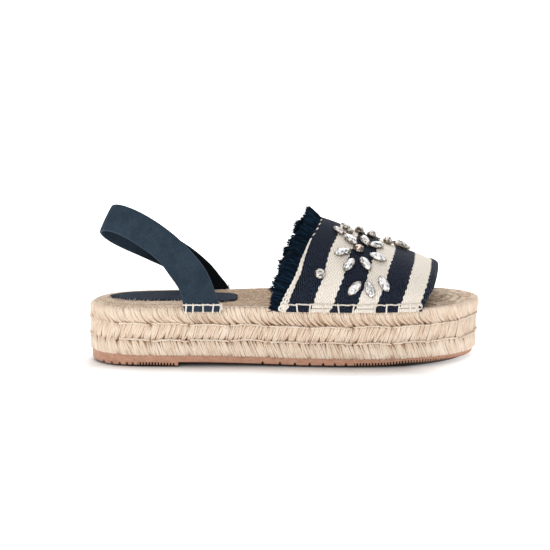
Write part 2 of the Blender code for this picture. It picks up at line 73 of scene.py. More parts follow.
VAMP_SECTIONS = (  # x at the lateral and medial stitch lines, ridge x, y, z, fullness of the arch, sweep
    (-4.8, 5.0, 22.9, 5.0, 90.6, 2.00, 1.46),
    (87.4, 95.5, 99.0, 3.0, 60.6, 2.20, 1.20),
)
FOOT_LENGTH = VAMP_SECTIONS[1][0] - VAMP_SECTIONS[0][0]  # the vamp's, along the lateral stitch line
FRINGE_LENGTH = (  # share of the way from the stitch line up to the ridge, length of the fringe
    (-1.0, 5.2), (0.0, 7.0), (0.1, 9.6), (0.25, 10.7), (0.36, 9.6), (0.45, 9.0), (0.56, 9.8), (0.72, 7.8),
    (0.84, 7.4), (0.93, 9.2), (1.0, 9.4),
)
FRINGE_FLARE = ((0.0, 3.0), (0.8, 7.0), (0.9, 16.0), (1.0, 19.0))  # the same share, degrees
STRAP_THICKNESS = 2.0
STRAP_FEET = {  # side: front edge x at the hem and at the stitch line, rear edge x at both
    -1: (-43.4, -44.1, -66.0, -66.9),
    1: (-34.6, -36.2, -55.6, -56.6),
}
STRAP_ROUTE = (  # upper edge x, y, z and lower edge x, y, z, from the lateral foot round to the medial one
    (-45.9, -36.0, 47.4, -67.8, -35.0, 46.9),
    (-49.4, -34.2, 57.0, -72.4, -31.0, 55.0),
    (-53.0, -32.4, 63.8, -76.0, -28.5, 59.8),
    (-58.1, -30.5, 70.3, -79.6, -26.0, 64.6),
    (-70.2, -25.5, 82.4, -88.6, -21.0, 72.4),
    (-85.8, -19.0, 93.3, -99.8, -15.6, 79.3),
    (-98.5, -12.6, 99.2, -109.0, -10.6, 83.2),
    (-107.8, -6.0, 100.9, -116.0, -5.6, 84.0),
    (-110.6, 0.5, 98.7, -118.6, 0.5, 82.0),
    (-107.8, 7.5, 94.6, -115.4, 7.0, 77.0),
    (-98.8, 13.4, 89.8, -106.2, 13.2, 70.5),
    (-84.0, 18.3, 82.4, -93.4, 19.0, 63.7),
    (-68.2, 22.0, 73.8, -80.8, 25.0, 56.9),
    (-55.1, 26.6, 63.8, -69.8, 29.6, 50.9),
    (-44.4, 31.0, 52.6, -62.0, 33.0, 45.6),
    (-39.6, 34.2, 46.0, -59.0, 34.6, 43.4),
)
PAD_FRONT_X = -33.0
PAD_INSETS = ((-126, 12.9), (-118, 15.6), (-98, 16.4), (-65, 16.8), (-30, 20.5))  # x, inset of the sock's edge
STONE_SEAT = 0.4
STONE_SIZES = {"marquise": (11.0, 5.6), "round": (6.4, 6.4), "bead": (4.2, 4.2)}  # length, width
CLEAR, SMOKY, GOLD = 0, 1, 2
STONES_EACH_SIDE = (  # kind, family, along from the back edge, percent of the way up to the ridge, turn in degrees
    ("round", GOLD, 33.8, 61, 0),
    ("marquise", CLEAR, 26.0, 70, -54),
    ("marquise", SMOKY, 35.9, 76, -25),
    ("marquise", CLEAR, 44.8, 75, 50),
    ("marquise", CLEAR, 48.3, 57, -86),
    ("marquise", CLEAR, 41.8, 45, -46),
    ("marquise", CLEAR, 31.4, 40, 14),
    ("marquise", CLEAR, 24.0, 52, 50),
    ("marquise", CLEAR, 40.9, 17, 20),
    ("marquise", CLEAR, 50.6, 17, -42),
    ("marquise", CLEAR, 58.5, 25, -47),
    ("round", SMOKY, 15.2, 27, 0),
    ("marquise", SMOKY, 14.8, 80, -60),
    ("bead", SMOKY, 19.8, 88, 0),
    ("bead", SMOKY, 23.5, 83, 0),
)
STONES_ON_RIDGE = (
    ("round", SMOKY, 29.8, 94, 0),
    ("round", SMOKY, 39.4, 96, 0),
    ("round", SMOKY, 52.0, 96, 0),
    ("marquise", SMOKY, 62.6, 99, 90),
)


# ------------------------------------------------------------------ curves
def read(table, x, column=1):
    """A table's column at x, which is its first column."""
    table = np.array(table)
    return np.interp(x, table[:, 0], table[:, column])


def fade(x, start, end):
    """From 0 at start to 1 at end, and level beyond."""
    return np.clip((np.asarray(x) - start) / (end - start), 0, 1)


def within(x, spans):
    """Whether x lies in one of the spans."""
    return np.any([(x > low) & (x < high) for low, high in spans], axis=0)


def unit(vectors):
    """Vectors made one long."""
    return vectors / np.maximum(np.linalg.norm(vectors, axis=-1, keepdims=True), 1e-9)


def walk(points):
    """Each point's distance along its line."""
    return np.r_[0.0, np.cumsum(np.linalg.norm(np.diff(points, axis=0), axis=1))]


def resample(curve, share, at):
    """A curve's points at shares of its length."""
    return np.stack([np.interp(at, share, column) for column in curve.T], axis=-1)


def second_derivatives(times, values, closed):
    """The cubic spline's second derivatives at its points, natural at the ends unless it is closed."""
    count = len(values)
    steps = np.diff(times)
    matrix = np.zeros((count, count))
    right = np.zeros_like(values)
    for i in range(count):
        if not closed and i in (0, count - 1):
            matrix[i, i] = 1.0
            continue
        before, after = steps[i - 1], steps[i % len(steps)]
        following = (i + 1) % count
        matrix[i, i - 1] += before / 6
        matrix[i, i] += (before + after) / 3
        matrix[i, following] += after / 6
        right[i] = (values[following] - values[i]) / after - (values[i] - values[i - 1]) / before
    return np.linalg.solve(matrix, right)


def smooth_curve(points, closed=False, power=1.0, samples=4000):
    """Points close together on a cubic spline, with each one's share of the curve's length."""
    values = np.array(points, float)
    ends = np.vstack([values, values[:1]]) if closed else values
    times = np.r_[0.0, np.cumsum(np.linalg.norm(np.diff(ends, axis=0), axis=1) ** power)]
    bends = second_derivatives(times, values, closed)
    if closed:
        bends = np.vstack([bends, bends[:1]])
    at = np.linspace(0, times[-1], samples)
    left = np.clip(np.searchsorted(times, at, side="right") - 1, 0, len(times) - 2)
    step = (times[left + 1] - times[left])[:, None]
    done = at[:, None] - times[left][:, None]
    rest = step - done
    curve = (
        bends[left] * rest**3 / (6 * step)
        + bends[left + 1] * done**3 / (6 * step)
        + (ends[left] / step - bends[left] * step / 6) * rest
        + (ends[left + 1] / step - bends[left + 1] * step / 6) * done
    )
    length = walk(curve)
    return curve, length / length[-1]


RING, RING_SHARE = smooth_curve(OUTLINE, closed=True, power=0.5)
RING_STEP = np.gradient(RING, axis=0)
RING_OUT = np.c_[RING_STEP[:, 1], -RING_STEP[:, 0]] / np.linalg.norm(RING_STEP, axis=1)[:, None]
TOE_INDEX = int(RING[:, 0].argmax())
AROUND = float(np.linalg.norm(np.diff(RING, axis=0), axis=1).sum())  # the outline's length


def ring_out(s):
    """The outline's outward direction at a distance along it."""
    return unit(resample(RING_OUT, RING_SHARE, np.mod(np.asarray(s) / AROUND, 1.0)))


def ring_point(s, inset=0.0):
    """Plan points at a distance along the outline, moved in from it."""
    point = resample(RING, RING_SHARE, np.mod(np.asarray(s) / AROUND, 1.0))
    return point - ring_out(s) * np.asarray(inset)[..., None]


def ring_x(s, inset=0.0):
    """The x of the same points."""
    return ring_point(s, inset)[..., 0]


def at_height(s, inset, z):
    """The same points at heights."""
    return np.concatenate([ring_point(s, inset), z[..., None]], axis=-1)


def outward(s):
    """The outline's outward direction as a vector in space."""
    return np.concatenate([ring_out(s), np.zeros(np.shape(s) + (1,))], axis=-1)


def edge_y(x, side):
    """The outline's y at x, on the lateral side (-1) or the medial side (1)."""
    lateral = np.interp(x, RING[:TOE_INDEX, 0], RING[:TOE_INDEX, 1])
    medial = np.interp(x, RING[:TOE_INDEX:-1, 0], RING[:TOE_INDEX:-1, 1])
    return np.where(np.asarray(side) < 0, lateral, medial)


def row_line(index, x):
    """Height of the line under a rope row."""
    base, at_heel, at_toe = ROW_LINES[index]
    return base + at_heel * read(SOLE_STATIONS, x, 1) + at_toe * read(SOLE_STATIONS, x, 2)


def vamp_point(u, a):
    """Outer face of the vamp: u from the back edge (0) to the front edge (1), a from the lateral
    stitch line (-1) over the ridge (0) to the medial one (1), and on down to the hems (-2 and 2)."""
    u, a = np.broadcast_arrays(np.asarray(u, float), np.asarray(a, float))
    lateral_x, medial_x, ridge_x, ridge_y, ridge_z, fullness, sweep = (
        back + (front - back) * u for back, front in zip(*VAMP_SECTIONS)
    )
    foot_x = np.where(a < 0, lateral_x, medial_x)
    away = np.clip(np.abs(a), 0, 1)
    climb = (1 - away) * math.pi / 2
    below = np.clip(np.abs(a) - 1, 0, None) * (STITCH_Z - HEM_Z)
    power = 2 / fullness
    z = STITCH_Z + (ridge_z - STITCH_Z) * np.sin(climb) ** power - below
    x = foot_x + (ridge_x - foot_x) * (1 - away**sweep) - below * HEM_SLOPE
    side = np.where(a < 0, -1.0, 1.0)
    foot_y = edge_y(foot_x - below * HEM_SLOPE, side) + side * (HEM_CLEARANCE + WALL)
    y = ridge_y + (foot_y - ridge_y) * np.maximum(np.cos(climb), 0) ** power
    return np.stack([x, y, z], axis=-1)


def vamp_frame(u, a, step=1e-3):
    """Points on the vamp's outer face with the directions forwards, up round it, and outwards."""
    forwards = unit(vamp_point(u + step, a) - vamp_point(u - step, a))
    around = unit(vamp_point(u, a + step) - vamp_point(u, a - step))
    outwards = unit(np.cross(forwards, around))
    return vamp_point(u, a), unit(np.cross(around, outwards)), around, outwards


# ------------------------------------------------------------------ meshes
def add_object(name, points, faces, values, material, smooth=True):
    """An object from points in millimetres, groups of faces of equal size and a vector at each point."""
    mesh = bpy.data.meshes.new(name)
    points = np.asarray(points, float).reshape(-1, 3)
    groups = [np.asarray(group, np.int32) for group in faces]
    corners = np.concatenate([group.ravel() for group in groups])
    sizes = np.concatenate([np.full(len(group), group.shape[1]) for group in groups])
    mesh.vertices.add(len(points))
    mesh.vertices.foreach_set("co", (points * MM).ravel())
    mesh.loops.add(len(corners))
    mesh.loops.foreach_set("vertex_index", corners)
    mesh.polygons.add(len(sizes))
    mesh.polygons.foreach_set("loop_start", np.r_[0, np.cumsum(sizes)[:-1]].astype(np.int32))
    mesh.update(calc_edges=True)
    mesh.validate()
    if smooth:
        mesh.shade_smooth()
    made = mesh.attributes.new("detail", "FLOAT_VECTOR", "POINT")
    made.data.foreach_set("vector", np.asarray(values, np.float32).ravel())
    mesh.materials.append(material)
    thing = bpy.data.objects.new(name, mesh)
    bpy.context.collection.objects.link(thing)
    return thing


def add_piece(name, made, material, replaced=(), smooth=True):
    """A piece that rides on the sandal and hides the CAD nodes that it stands for.

    made is its points, groups of faces and a vector for its material at each point."""
    piece = add_object(name, *made, material, smooth)
    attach(piece, "root")
    if replaced:
        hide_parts(*replaced)
    return piece


def grid_faces(rows, columns, close_rows=False, close_columns=False):
    """Quads of a grid of points listed row by row."""
    i = np.arange(rows if close_rows else rows - 1)[:, None]
    j = np.arange(columns if close_columns else columns - 1)[None, :]
    after_i, after_j = (i + 1) % rows, (j + 1) % columns
    corners = [i * columns + j, i * columns + after_j, after_i * columns + after_j, after_i * columns + j]
    return np.stack([np.broadcast_to(c, (i.size, j.size)) for c in corners], axis=-1).reshape(-1, 4)


def band_faces(rows, columns):
    """Faces of a closed band of rings, listed ring by ring, with a face over each end."""
    ends = np.arange(columns)
    return [grid_faces(rows, columns, close_columns=True), np.vstack([ends[::-1], ends + (rows - 1) * columns])]


def tubes(paths, outwards, width, depth, sides, tone):
    """Closed tubes along paths (N, K, 3), oval: half as wide across as width, half as deep as depth.

    Their vectors are millimetres along, place round it, tone."""
    count, steps = paths.shape[:2]
    along = unit(np.gradient(paths, axis=1))
    across = unit(np.cross(along, outwards))
    out = np.cross(across, along)
    around = np.arange(sides) / sides
    angle = (around * TURN)[:, None]
    width, depth = (np.broadcast_to(v, (count, steps))[..., None, None] for v in (width, depth))
    points = paths[:, :, None] + across[:, :, None] * np.cos(angle) * width
    points = points + out[:, :, None] * np.sin(angle) * depth
    offsets = (np.arange(count) * steps * sides)[:, None, None]
    groups = (grid_faces(steps, sides, close_columns=True)[:, ::-1], np.arange(sides)[None],
              np.arange(sides)[None, ::-1] + (steps - 1) * sides)
    length = np.cumsum(np.linalg.norm(np.diff(paths, axis=1, prepend=paths[:, :1]), axis=2), axis=1)
    tone = np.asarray(tone, float).reshape(count, -1, 1)
    strand = np.stack(np.broadcast_arrays(length[:, :, None], around, tone), axis=-1)
    faces = [(group + offsets).reshape(-1, group.shape[1]) for group in groups]
    return points.reshape(-1, 3), faces, strand.reshape(-1, 3)


def two_ply(middle, out, across, twist, apart, radius, sides, tone):
    """Two plies twisted round a line, as tubes."""
    paths = [
        middle + (out * np.cos(twist + ply)[:, None] + across * np.sin(twist + ply)[:, None]) * apart
        for ply in (0, math.pi)
    ]
    return tubes(np.array(paths), out, radius, radius, sides, tone)


def join(parts):
    """Several (points, faces, vectors) as one."""
    firsts = np.cumsum([0] + [len(points) for points, _, _ in parts])
    faces = [group + first for (_, groups, _), first in zip(parts, firsts) for group in groups]
    return np.vstack([part[0] for part in parts]), faces, np.vstack([part[2] for part in parts])


# ------------------------------------------------------------------ materials
def linear(colour):
    """A display colour, 0 to 255, as linear red, green, blue and alpha."""
    shares = [v / 255 for v in colour]
    return [c / 12.92 if c <= 0.04045 else ((c + 0.055) / 1.055) ** 2.4 for c in shares] + [1.0]


def operator(operation):
    """A method of Value that adds one Math node."""
    return lambda value, other=0.0: value.shader.add("Math", {"operation": operation}, i0=value, i1=other)


class Value:
    """A shader node's output, to reckon with like a number."""

    def __init__(self, shader, socket):
        self.shader, self.socket = shader, socket

    __add__, __sub__ = operator("ADD"), operator("SUBTRACT")
    __mul__, __truediv__ = operator("MULTIPLY"), operator("DIVIDE")
    __pow__, __abs__ = operator("POWER"), operator("ABSOLUTE")
    larger, sine, pingpong = operator("MAXIMUM"), operator("SINE"), operator("PINGPONG")

    def range(self, low, high, to_low, to_high):
        """This number moved from one range to another."""
        return self.shader.add("MapRange", i0=self, i1=low, i2=high, i3=to_low, i4=to_high)

    def ramp(self, *stops, constant=False):
        """A colour from this number; stops are (place, colour in 0 to 255) or (place, grey in 0 to 1)."""
        made = self.shader.add("ValToRGB", Fac=self)
        ramp = made.socket.node.color_ramp
        ramp.interpolation = "CONSTANT" if constant else "LINEAR"
        while len(ramp.elements) < len(stops):
            ramp.elements.new(1.0)
        for element, (place, colour) in zip(ramp.elements, stops):
            element.position = place
            element.color = linear(colour) if isinstance(colour, tuple) else (colour, colour, colour, 1)
        return made

    def parts(self):
        """A vector's or colour's three numbers."""
        split = self.shader.add("SeparateXYZ", Vector=self).socket.node
        return [Value(self.shader, output) for output in split.outputs]


class Shader:
    """A material's node tree, with short ways to add to it."""

    def __init__(self, name, roughness=0.8, **values):
        self.material = bpy.data.materials.new(name)
        self.material.use_nodes = True
        self.tree = self.material.node_tree
        self.principled = self.tree.nodes["Principled BSDF"]
        self.set(self.principled, Roughness=roughness, **values)

    def set(self, node, **inputs):
        """Sets or links a node's inputs; a name i2 is the input of that number."""
        for key, value in inputs.items():
            number = key[1:] if key[0] == "i" and key[1:].isdigit() else None
            socket = node.inputs[int(number)] if number else node.inputs[key.replace("_", " ")]
            if isinstance(value, Value):
                self.tree.links.new(value.socket, socket)
            else:
                socket.default_value = value

    def add(self, kind, settings=None, output=0, **inputs):
        """The output of a new shader node."""
        made = self.tree.nodes.new("ShaderNode" + kind)
        for key, value in (settings or {}).items():
            setattr(made, key, value)
        self.set(made, **inputs)
        return Value(self, made.outputs[output])

    def detail(self):
        """The three numbers that the mesh has at each point."""
        return self.add("Attribute", {"attribute_name": "detail"}, "Vector").parts()

    def place(self, x=1.0, y=None, z=None):
        """The object coordinates in millimetres, times x or x, y and z."""
        where = self.add("TexCoord", output="Object")
        scale = [1000 * v for v in (x, x if y is None else y, x if z is None else z)]
        return self.add("Mapping", Vector=where, Scale=scale)

    def vector(self, x, y, z=0.0):
        """Three numbers as a vector."""
        return self.add("CombineXYZ", X=x, Y=y, Z=z)

    def noise(self, vector, scale=1.0, detail=2.0, roughness=0.5, distortion=0.0):
        """Noise from 0 to 1."""
        return self.add("TexNoise", None, "Fac", Vector=vector, Scale=scale, Detail=detail,
                        Roughness=roughness, Distortion=distortion)

    def mix(self, factor, a, b):
        """One colour laid over another."""
        return self.add("Mix", {"data_type": "RGBA"}, 2, i0=factor, i6=a, i7=b)

    def finish(self, colour, height, distance, **inputs):
        """The material with its colour, and a bump where a height of 1 is so many millimetres."""
        bump = self.add("Bump", Height=height, Distance=distance * MM, Strength=1.0)
        self.set(self.principled, Base_Color=colour, Normal=bump, **inputs)
        return self.material


def jute_material():
    """Jute yarn: each strand has its own tone, lowered by painted shade where the bundles part and at the stitch
    holes, and fine fibres run along it.
    """
    shader = Shader("jute_yarn", 0.85, Sheen_Weight=0.15, Sheen_Roughness=0.6, Specular_IOR_Level=0.2)
    along, turn, tone = shader.detail()
    fibres = shader.noise(shader.vector(along * 0.16, turn * 3.5, tone * 37), 1.25, 4, 0.7)
    level = fibres * 0.62 + tone * 0.26 + shader.noise(shader.place(0.13)) * 0.35
    colour = level.ramp(
        (0.0, (90, 54, 36)), (0.16, (148, 104, 70)), (0.36, (195, 165, 137)), (0.6, (226, 204, 182)),
        (0.85, (243, 229, 212)),
    )
    return shader.finish(colour, fibres, 0.22)


JUTE = jute_material()


# ------------------------------------------------------------------ jute rows
TOP_ROW = 2
YARN_STEPS = 13
CORE_COLUMNS = 560
HOLES_X = (-108.4, -87.6, -63.0, -37.2, -12.9, 12.7, 39.8, 65.1, 90.4, 109.7)  # stitch holes, lateral side
HOLE_PITCH = 26.0  # round the toe and along the medial side
LOWER_PROFILE = (  # share along a yarn, share of the row's height, inset; a soft roll over the rubber
    (0.0, 0.05, 2.9), (0.1, 0.03, 1.6), (0.22, 0.11, 0.95), (0.5, 0.42, 0.65), (0.8, 0.82, 0.8),
    (0.93, 0.97, 1.15), (1.0, 1.03, 2.0),
)
MIDDLE_PROFILE = (
    (0.0, -0.03, 2.0), (0.07, 0.04, 1.15), (0.2, 0.18, 0.8), (0.5, 0.5, 0.65), (0.8, 0.82, 0.8),
    (0.93, 0.96, 1.15), (1.0, 1.03, 2.0),
)
TIGHT_RIM = (  # the top row's yarns end in a crisp edge under the insole
    (0.0, -0.03, 2.0), (0.06, 0.04, 1.15), (0.15, 0.15, 0.82), (0.36, 0.38, 0.62), (0.6, 0.64, 0.62),
    (0.8, 0.86, 0.72), (0.9, 0.965, 1.0), (0.96, 0.985, 1.8), (1.0, 0.97, 2.8),
)
ROUND_RIM = (  # at the heel they turn in under its thick felted edge
    (0.0, -0.03, 2.0), (0.06, 0.04, 1.15), (0.15, 0.15, 0.82), (0.36, 0.38, 0.66), (0.6, 0.62, 0.75),
    (0.78, 0.79, 0.95), (0.88, 0.87, 1.7), (0.95, 0.92, 3.0), (1.0, 0.95, 4.2),
)
ROW_PROFILES = (  # at the forefoot and at the heel
    (LOWER_PROFILE, LOWER_PROFILE), (MIDDLE_PROFILE, MIDDLE_PROFILE), (TIGHT_RIM, ROUND_RIM),
)
FLAT_ENDS = (0.5, 0.85)  # how much shallower the grooves between the rows are at the heel and the toe
GROOVE_INSET = 0.65
LOWER_EDGE = ((-130, 1.2), (-60, 0.9), (-40, 0.7), (0, 0.25), (75, 0.25), (103, 0.8), (130, 0.5))  # x, lift
LINE_LIFTS = (  # how far the drawn lines between the rows stand over the solids': x, lower line, upper line
    (-130, 0.7, 0.9), (-100, 0.7, 1.1), (-60, 0.5, 0.5), (-20, 0.2, 0.0), (130, 0.0, 0.0),
)
TIGHT_TOP = ((0.0, -1.3), (0.5, -0.6), (0.95, -0.15), (1.6, 0.0), (4.0, 0.0))  # inset, height over the crown
ROUND_TOP = ((0.0, -6.0), (0.7, -4.6), (1.1, -3.3), (2.6, -2.0), (4.4, -0.9), (7.0, -0.05), (11.0, 0.15))
WAIST_DIP = (0.7, -39.0, 11.0)  # the top sinks a little in front of the heel: depth, x, length
TOE_LEAN = (  # height, how far the side leans in at the toe
    (0, 1.2), (9, 1.3), (18, 1.35), (25, 1.35), (28, 1.15), (30.5, 0.65), (33.2, 0.0), (36, -0.5), (41, 0.0),
)
OPENINGS = ((0.25, 0.09), (0.44, 0.12))  # how far the bundles part, mean and spread: other rows, top row
SWEEP = 4.2  # how far the top row's yarns run forwards where they leave its cord
LINE_LIFT, HOLE_DIP, DIP_LENGTH = 0.2, 0.75, 5.5  # the lines between the rows, and their dips at the holes
CORD_PITCH, PLY_RADIUS, PLY_OFFSET = 2.6, 0.42, 0.27  # twist of the sewing cords, their two plies
FIBRES = 5500
FELTED, AT_FOOT, OVER_SOCK = (0.0, 0.42), (0.85, 0.88), (0.88, 1.0)  # shares of the fibres, the rest stand off
FIBRE_WIDTH = 0.06


def roundness(x):
    """How far the rim is the heel's thick one (1) and not the forefoot's tight one (0)."""
    share = fade(x, -36, -72)
    return share * share * (3 - 2 * share)


def toe_lean(x, z):
    """How far the side leans in at the toe, and how far the rim stands out there."""
    return fade(x, 80, 122) ** 1.5 * read(TOE_LEAN, z)


def insole_height(x, inset):
    """The top face without its braid: rounded down at the heel, crisp at the edge further forward."""
    heel = roundness(x)
    fall = read(TIGHT_TOP, inset) * (1 - heel) + read(ROUND_TOP, inset) * heel
    depth, middle, length = WAIST_DIP
    return read(SOLE_STATIONS, x, 4) + fall - depth * np.exp(-(((x - middle) / length) ** 2))


def drawn_line(index, x):
    """The line under a row as it is drawn, with dips at the stitch holes, or the rim over the top row."""
    if index > TOP_ROW:
        return read(SOLE_STATIONS, x, 3)
    if index == 0:
        return row_line(0, x) + read(LOWER_EDGE, x)
    from_hole = np.abs(np.asarray(x)[..., None] - np.array(HOLES_X)).min(-1)
    dip = HOLE_DIP * np.exp(-((from_hole / DIP_LENGTH) ** 2))
    return row_line(index, x) + read(LINE_LIFTS, x, index) + LINE_LIFT - dip


def stitch_holes():
    """Where the sewing cords dive in, as distances along the outline from the heel."""
    s = np.linspace(0, AROUND / 2, 2000)
    lateral = np.interp(HOLES_X, ring_x(s), s)
    rest = AROUND + lateral[0] - lateral[-1]
    return np.r_[lateral, lateral[-1] + np.arange(1, round(rest / HOLE_PITCH)) * HOLE_PITCH]


HOLES = stitch_holes()


def hole_offset(s):
    """The signed distance along the outline to the nearest stitch hole."""
    every = np.sort(np.r_[HOLES - AROUND, HOLES, HOLES + AROUND])
    after = np.clip(np.searchsorted(every, s), 1, len(every) - 1)
    before, behind = s - every[after - 1], s - every[after]
    return np.where(before < -behind, before, behind)


def side_points(index, s, share, inset):
    """Points on a row's side: along the outline, up between its two lines, in from the outline."""
    x = ring_x(s, inset)
    low, high = drawn_line(index, x), drawn_line(index + 1, x)
    z = low + (high - low) * share
    return at_height(s, inset + toe_lean(x, z), z)


def row_profile(index, v, s):
    """Height shares and insets at shares along yarns, blended between the forefoot's and the heel's."""
    curves = (smooth_curve(profile, samples=400)[0] for profile in ROW_PROFILES[index])
    forefoot, heel = (np.array([np.interp(v, curve[:, 0], curve[:, k]) for k in (1, 2)]) for curve in curves)
    x = ring_x(s)
    level, inset = forefoot + (heel - forefoot) * roundness(x)
    flat = np.maximum(FLAT_ENDS[0] * fade(x, -92, -118), FLAT_ENDS[1] * fade(x, 80, 102))
    if index == TOP_ROW:
        flat = flat * (level < 0.6)
    return level, inset - np.maximum(inset - GROOVE_INSET, 0) * flat


def row_yarns(index, seed, width, each, lean, gap_at_top, bright):
    """Yarns of one row, in bundles that lean along the side and close up at one end."""
    rng = np.random.default_rng(seed)
    over_rim = index == TOP_ROW
    bundles = int(round(AROUND / width))
    pitch, count = AROUND / bundles, bundles * each
    height = drawn_line(index + 1, 0.0) - drawn_line(index, 0.0)
    own_lean = lean * (1 + rng.normal(0, 0.13, bundles))
    opening = np.clip(rng.normal(*OPENINGS[over_rim], bundles), 0.06, 0.6)
    centre = (np.arange(bundles) + rng.uniform(-0.07, 0.07, bundles)) * pitch
    if over_rim:  # the bundles part more under the forefoot than at the heel
        opening = opening * np.interp(ring_x(centre), (-100, -55), (0.6, 1.2))
    sweep = rng.uniform(0.6, 1.15, bundles) * over_rim
    own_lean, opening, centre, sweep = (np.repeat(q, each)[:, None] for q in (own_lean, opening, centre, sweep))

    def spread(deviation):
        """A number for each yarn."""
        return rng.normal(0, deviation, (count, 1))

    own_lean = own_lean + spread(0.05)
    slot = np.tile(np.arange(each) - (each - 1) / 2, bundles)[:, None]
    level, inset = row_profile(index, np.linspace(0, 1, YARN_STEPS)[None, :], centre + slot * pitch / each)
    to_gap = level if gap_at_top else 1 - level
    near_gap = np.clip(to_gap * 1.55 - 0.55, 0, 1) ** 1.1 if over_rim else np.clip(to_gap * 2.4 - 1.4, 0, 1)
    wander = np.cumsum(rng.normal(0, 0.058, (count, YARN_STEPS)), axis=1)
    s = centre + slot * (pitch / each) * (1 - opening * near_gap)
    s = s + own_lean * (level - 0.5) * height + wander + spread(0.12)
    s = s + SWEEP * sweep * fade(level, 0.48, 0) ** 1.7
    ends = np.abs(2 * level - 1) ** 3 * ((level <= 0.5) | (not over_rim))
    pull = hole_offset(s)
    s = s - pull * np.exp(-((pull / 4.0) ** 2)) * 0.2 * ends
    calm = 1 - 0.8 * fade(ring_x(s), 84, 104)
    hole = np.exp(-((pull / 1.5) ** 2)) * ends * rng.uniform(0.6, 1.0, (count, 1)) * calm
    proud = spread(0.08) - np.abs(slot) * 0.08
    inset = inset + 0.1 - proud + hole * 1.7 + near_gap * np.abs(slot) * 0.2
    path, out = side_points(index, s, level, inset), outward(s)
    wide = pitch / each * 0.545 * (1 - opening * near_gap * 0.7) * (1 + spread(0.09))
    deep = 0.56 * (1 + spread(0.12))
    if over_rim:  # over the rim the yarns lie flat, look up, and stay under the felted top
        under = insole_height(path[..., 0], inset) - 0.1 + proud * 0.5
        path[..., 2] = np.where(level > 0.6, np.minimum(path[..., 2], under), path[..., 2])
        over = fade(level, 0.86, 0.98)[..., None]
        out = unit(out * (1 - over) + UP * over)
        deep = deep * (1 - 0.3 * fade(level, 0.7, 1))
    tone = np.repeat(rng.uniform(0, 1, bundles), each) * 0.3 + rng.uniform(0, 0.6, count) + bright
    # painted shade: the yarns darken where the bundles part and round the stitch holes, less so at the toe
    painted_shade = near_gap * (0.35 + 0.5 * (np.abs(slot) > (each - 1) / 2 - 0.1)) * opening * 2.5 * calm + hole * 2.6
    return tubes(path, out, wide, deep, 7, tone[:, None] - painted_shade)


def row_core(index, gap_at_top):
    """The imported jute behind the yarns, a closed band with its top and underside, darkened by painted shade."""
    s = np.arange(CORE_COLUMNS) / CORE_COLUMNS * AROUND
    hole = np.exp(-((hole_offset(s) / 1.9) ** 2))
    rings, tones = [], []
    for v in np.linspace(0, 1, 11):
        level, inset = row_profile(index, np.full(CORE_COLUMNS, v), s)
        gap = np.clip((level if gap_at_top else 1 - level) * 1.9 - 0.9, 0, 1)
        end = hole * np.clip(np.abs(2 * level - 1) * 3 - 2, 0, 1) * ((level < 0.5) | (index < TOP_ROW))
        ring = side_points(index, s, np.clip(level, 0.03, 0.97), inset + 0.5 + gap * 0.6 + end)
        if index == TOP_ROW:
            ring[:, 2] = np.minimum(ring[:, 2], insole_height(ring[:, 0], inset) - 0.55)
        rings.append(ring)
        # painted shade: the band darkens where the bundles part and at the stitch holes, less at the toe
        tones.append(0.3 - (1.7 * gap + 2.2 * end) * (1 - 0.75 * fade(ring[:, 0], 86, 106)))
    inner = np.full(CORE_COLUMNS, -1.0)
    low, high = at_height(s, 5.0, rings[0][:, 2]), at_height(s, 9.0, rings[-1][:, 2] - 0.3)
    rings, tones = [low, *rings, high], [inner, *tones, inner]  # on into the sole, at the darkest tone: painted shade
    points = np.vstack(rings)
    strand = np.c_[points[:, 2] * 3, np.tile(s, len(rings)) * 0.5, np.concatenate(tones)]
    return points, band_faces(len(rings), CORE_COLUMNS), strand


def make_rows():
    """The three rope rows: bundles of yarn that lean one way, then the other."""
    rows = (  # name, seed, width and yarns of a bundle, lean, whether they part at the top, brightness
        ("lower", 3, 4.7, 4, -0.36, True, 0.38),
        ("middle", 5, 4.9, 4, 0.4, False, 0.2),
        ("upper", 8, 3.75, 3, -0.3, False, 0.22),
    )
    for index, (name, *look) in enumerate(rows):
        made = join([row_core(index, gap_at_top=look[4]), row_yarns(index, *look)])
        add_piece("jute_row_" + name, made, JUTE, ["rope_row_" + name])


def make_cords():
    """The sewing cords that run along the two lines between the rows, from hole to hole."""
    rng = np.random.default_rng(21)
    v = np.linspace(0, 1, 36)
    dive = np.exp(-v / 0.04) + np.exp(-(1 - v) / 0.04)
    parts = []
    for index in (1, 2):
        for start, end in zip(HOLES[:-1], HOLES[1:]):
            s = start + 0.2 + v * (end - start - 0.4)
            inset = 0.4 + rng.normal(0, 0.08) + 2.3 * dive * (1.0 if ring_x(start) < 100 else 0.3)
            lift = rng.normal(0, 0.26) + 0.6 * np.exp(-(((v - 0.1) / 0.07) ** 2)) * rng.uniform(0, 1)
            lift = lift + (0.7 * np.sin(v * math.pi) - 0.3) * rng.uniform(-0.3, 1)
            x = ring_x(s, inset)
            z = drawn_line(index, x) + lift + 0.14 * np.sin(s * 1.1 + index)
            middle = at_height(s, inset + toe_lean(x, z) - 0.5 * fade(x, 80, 94), z)
            # paler towards the toe: painted light against the shade the cords lie in there
            tone = np.full((2, 1), rng.uniform(0.75, 1.05)) + 0.1 * fade(x, 85, 105)
            twist = v * (end - start) / CORD_PITCH * TURN
            parts.append(two_ply(middle, outward(s), UP, twist, PLY_OFFSET, PLY_RADIUS, 5, tone))
    add_piece("jute_sewing_cords", join(parts), JUTE)


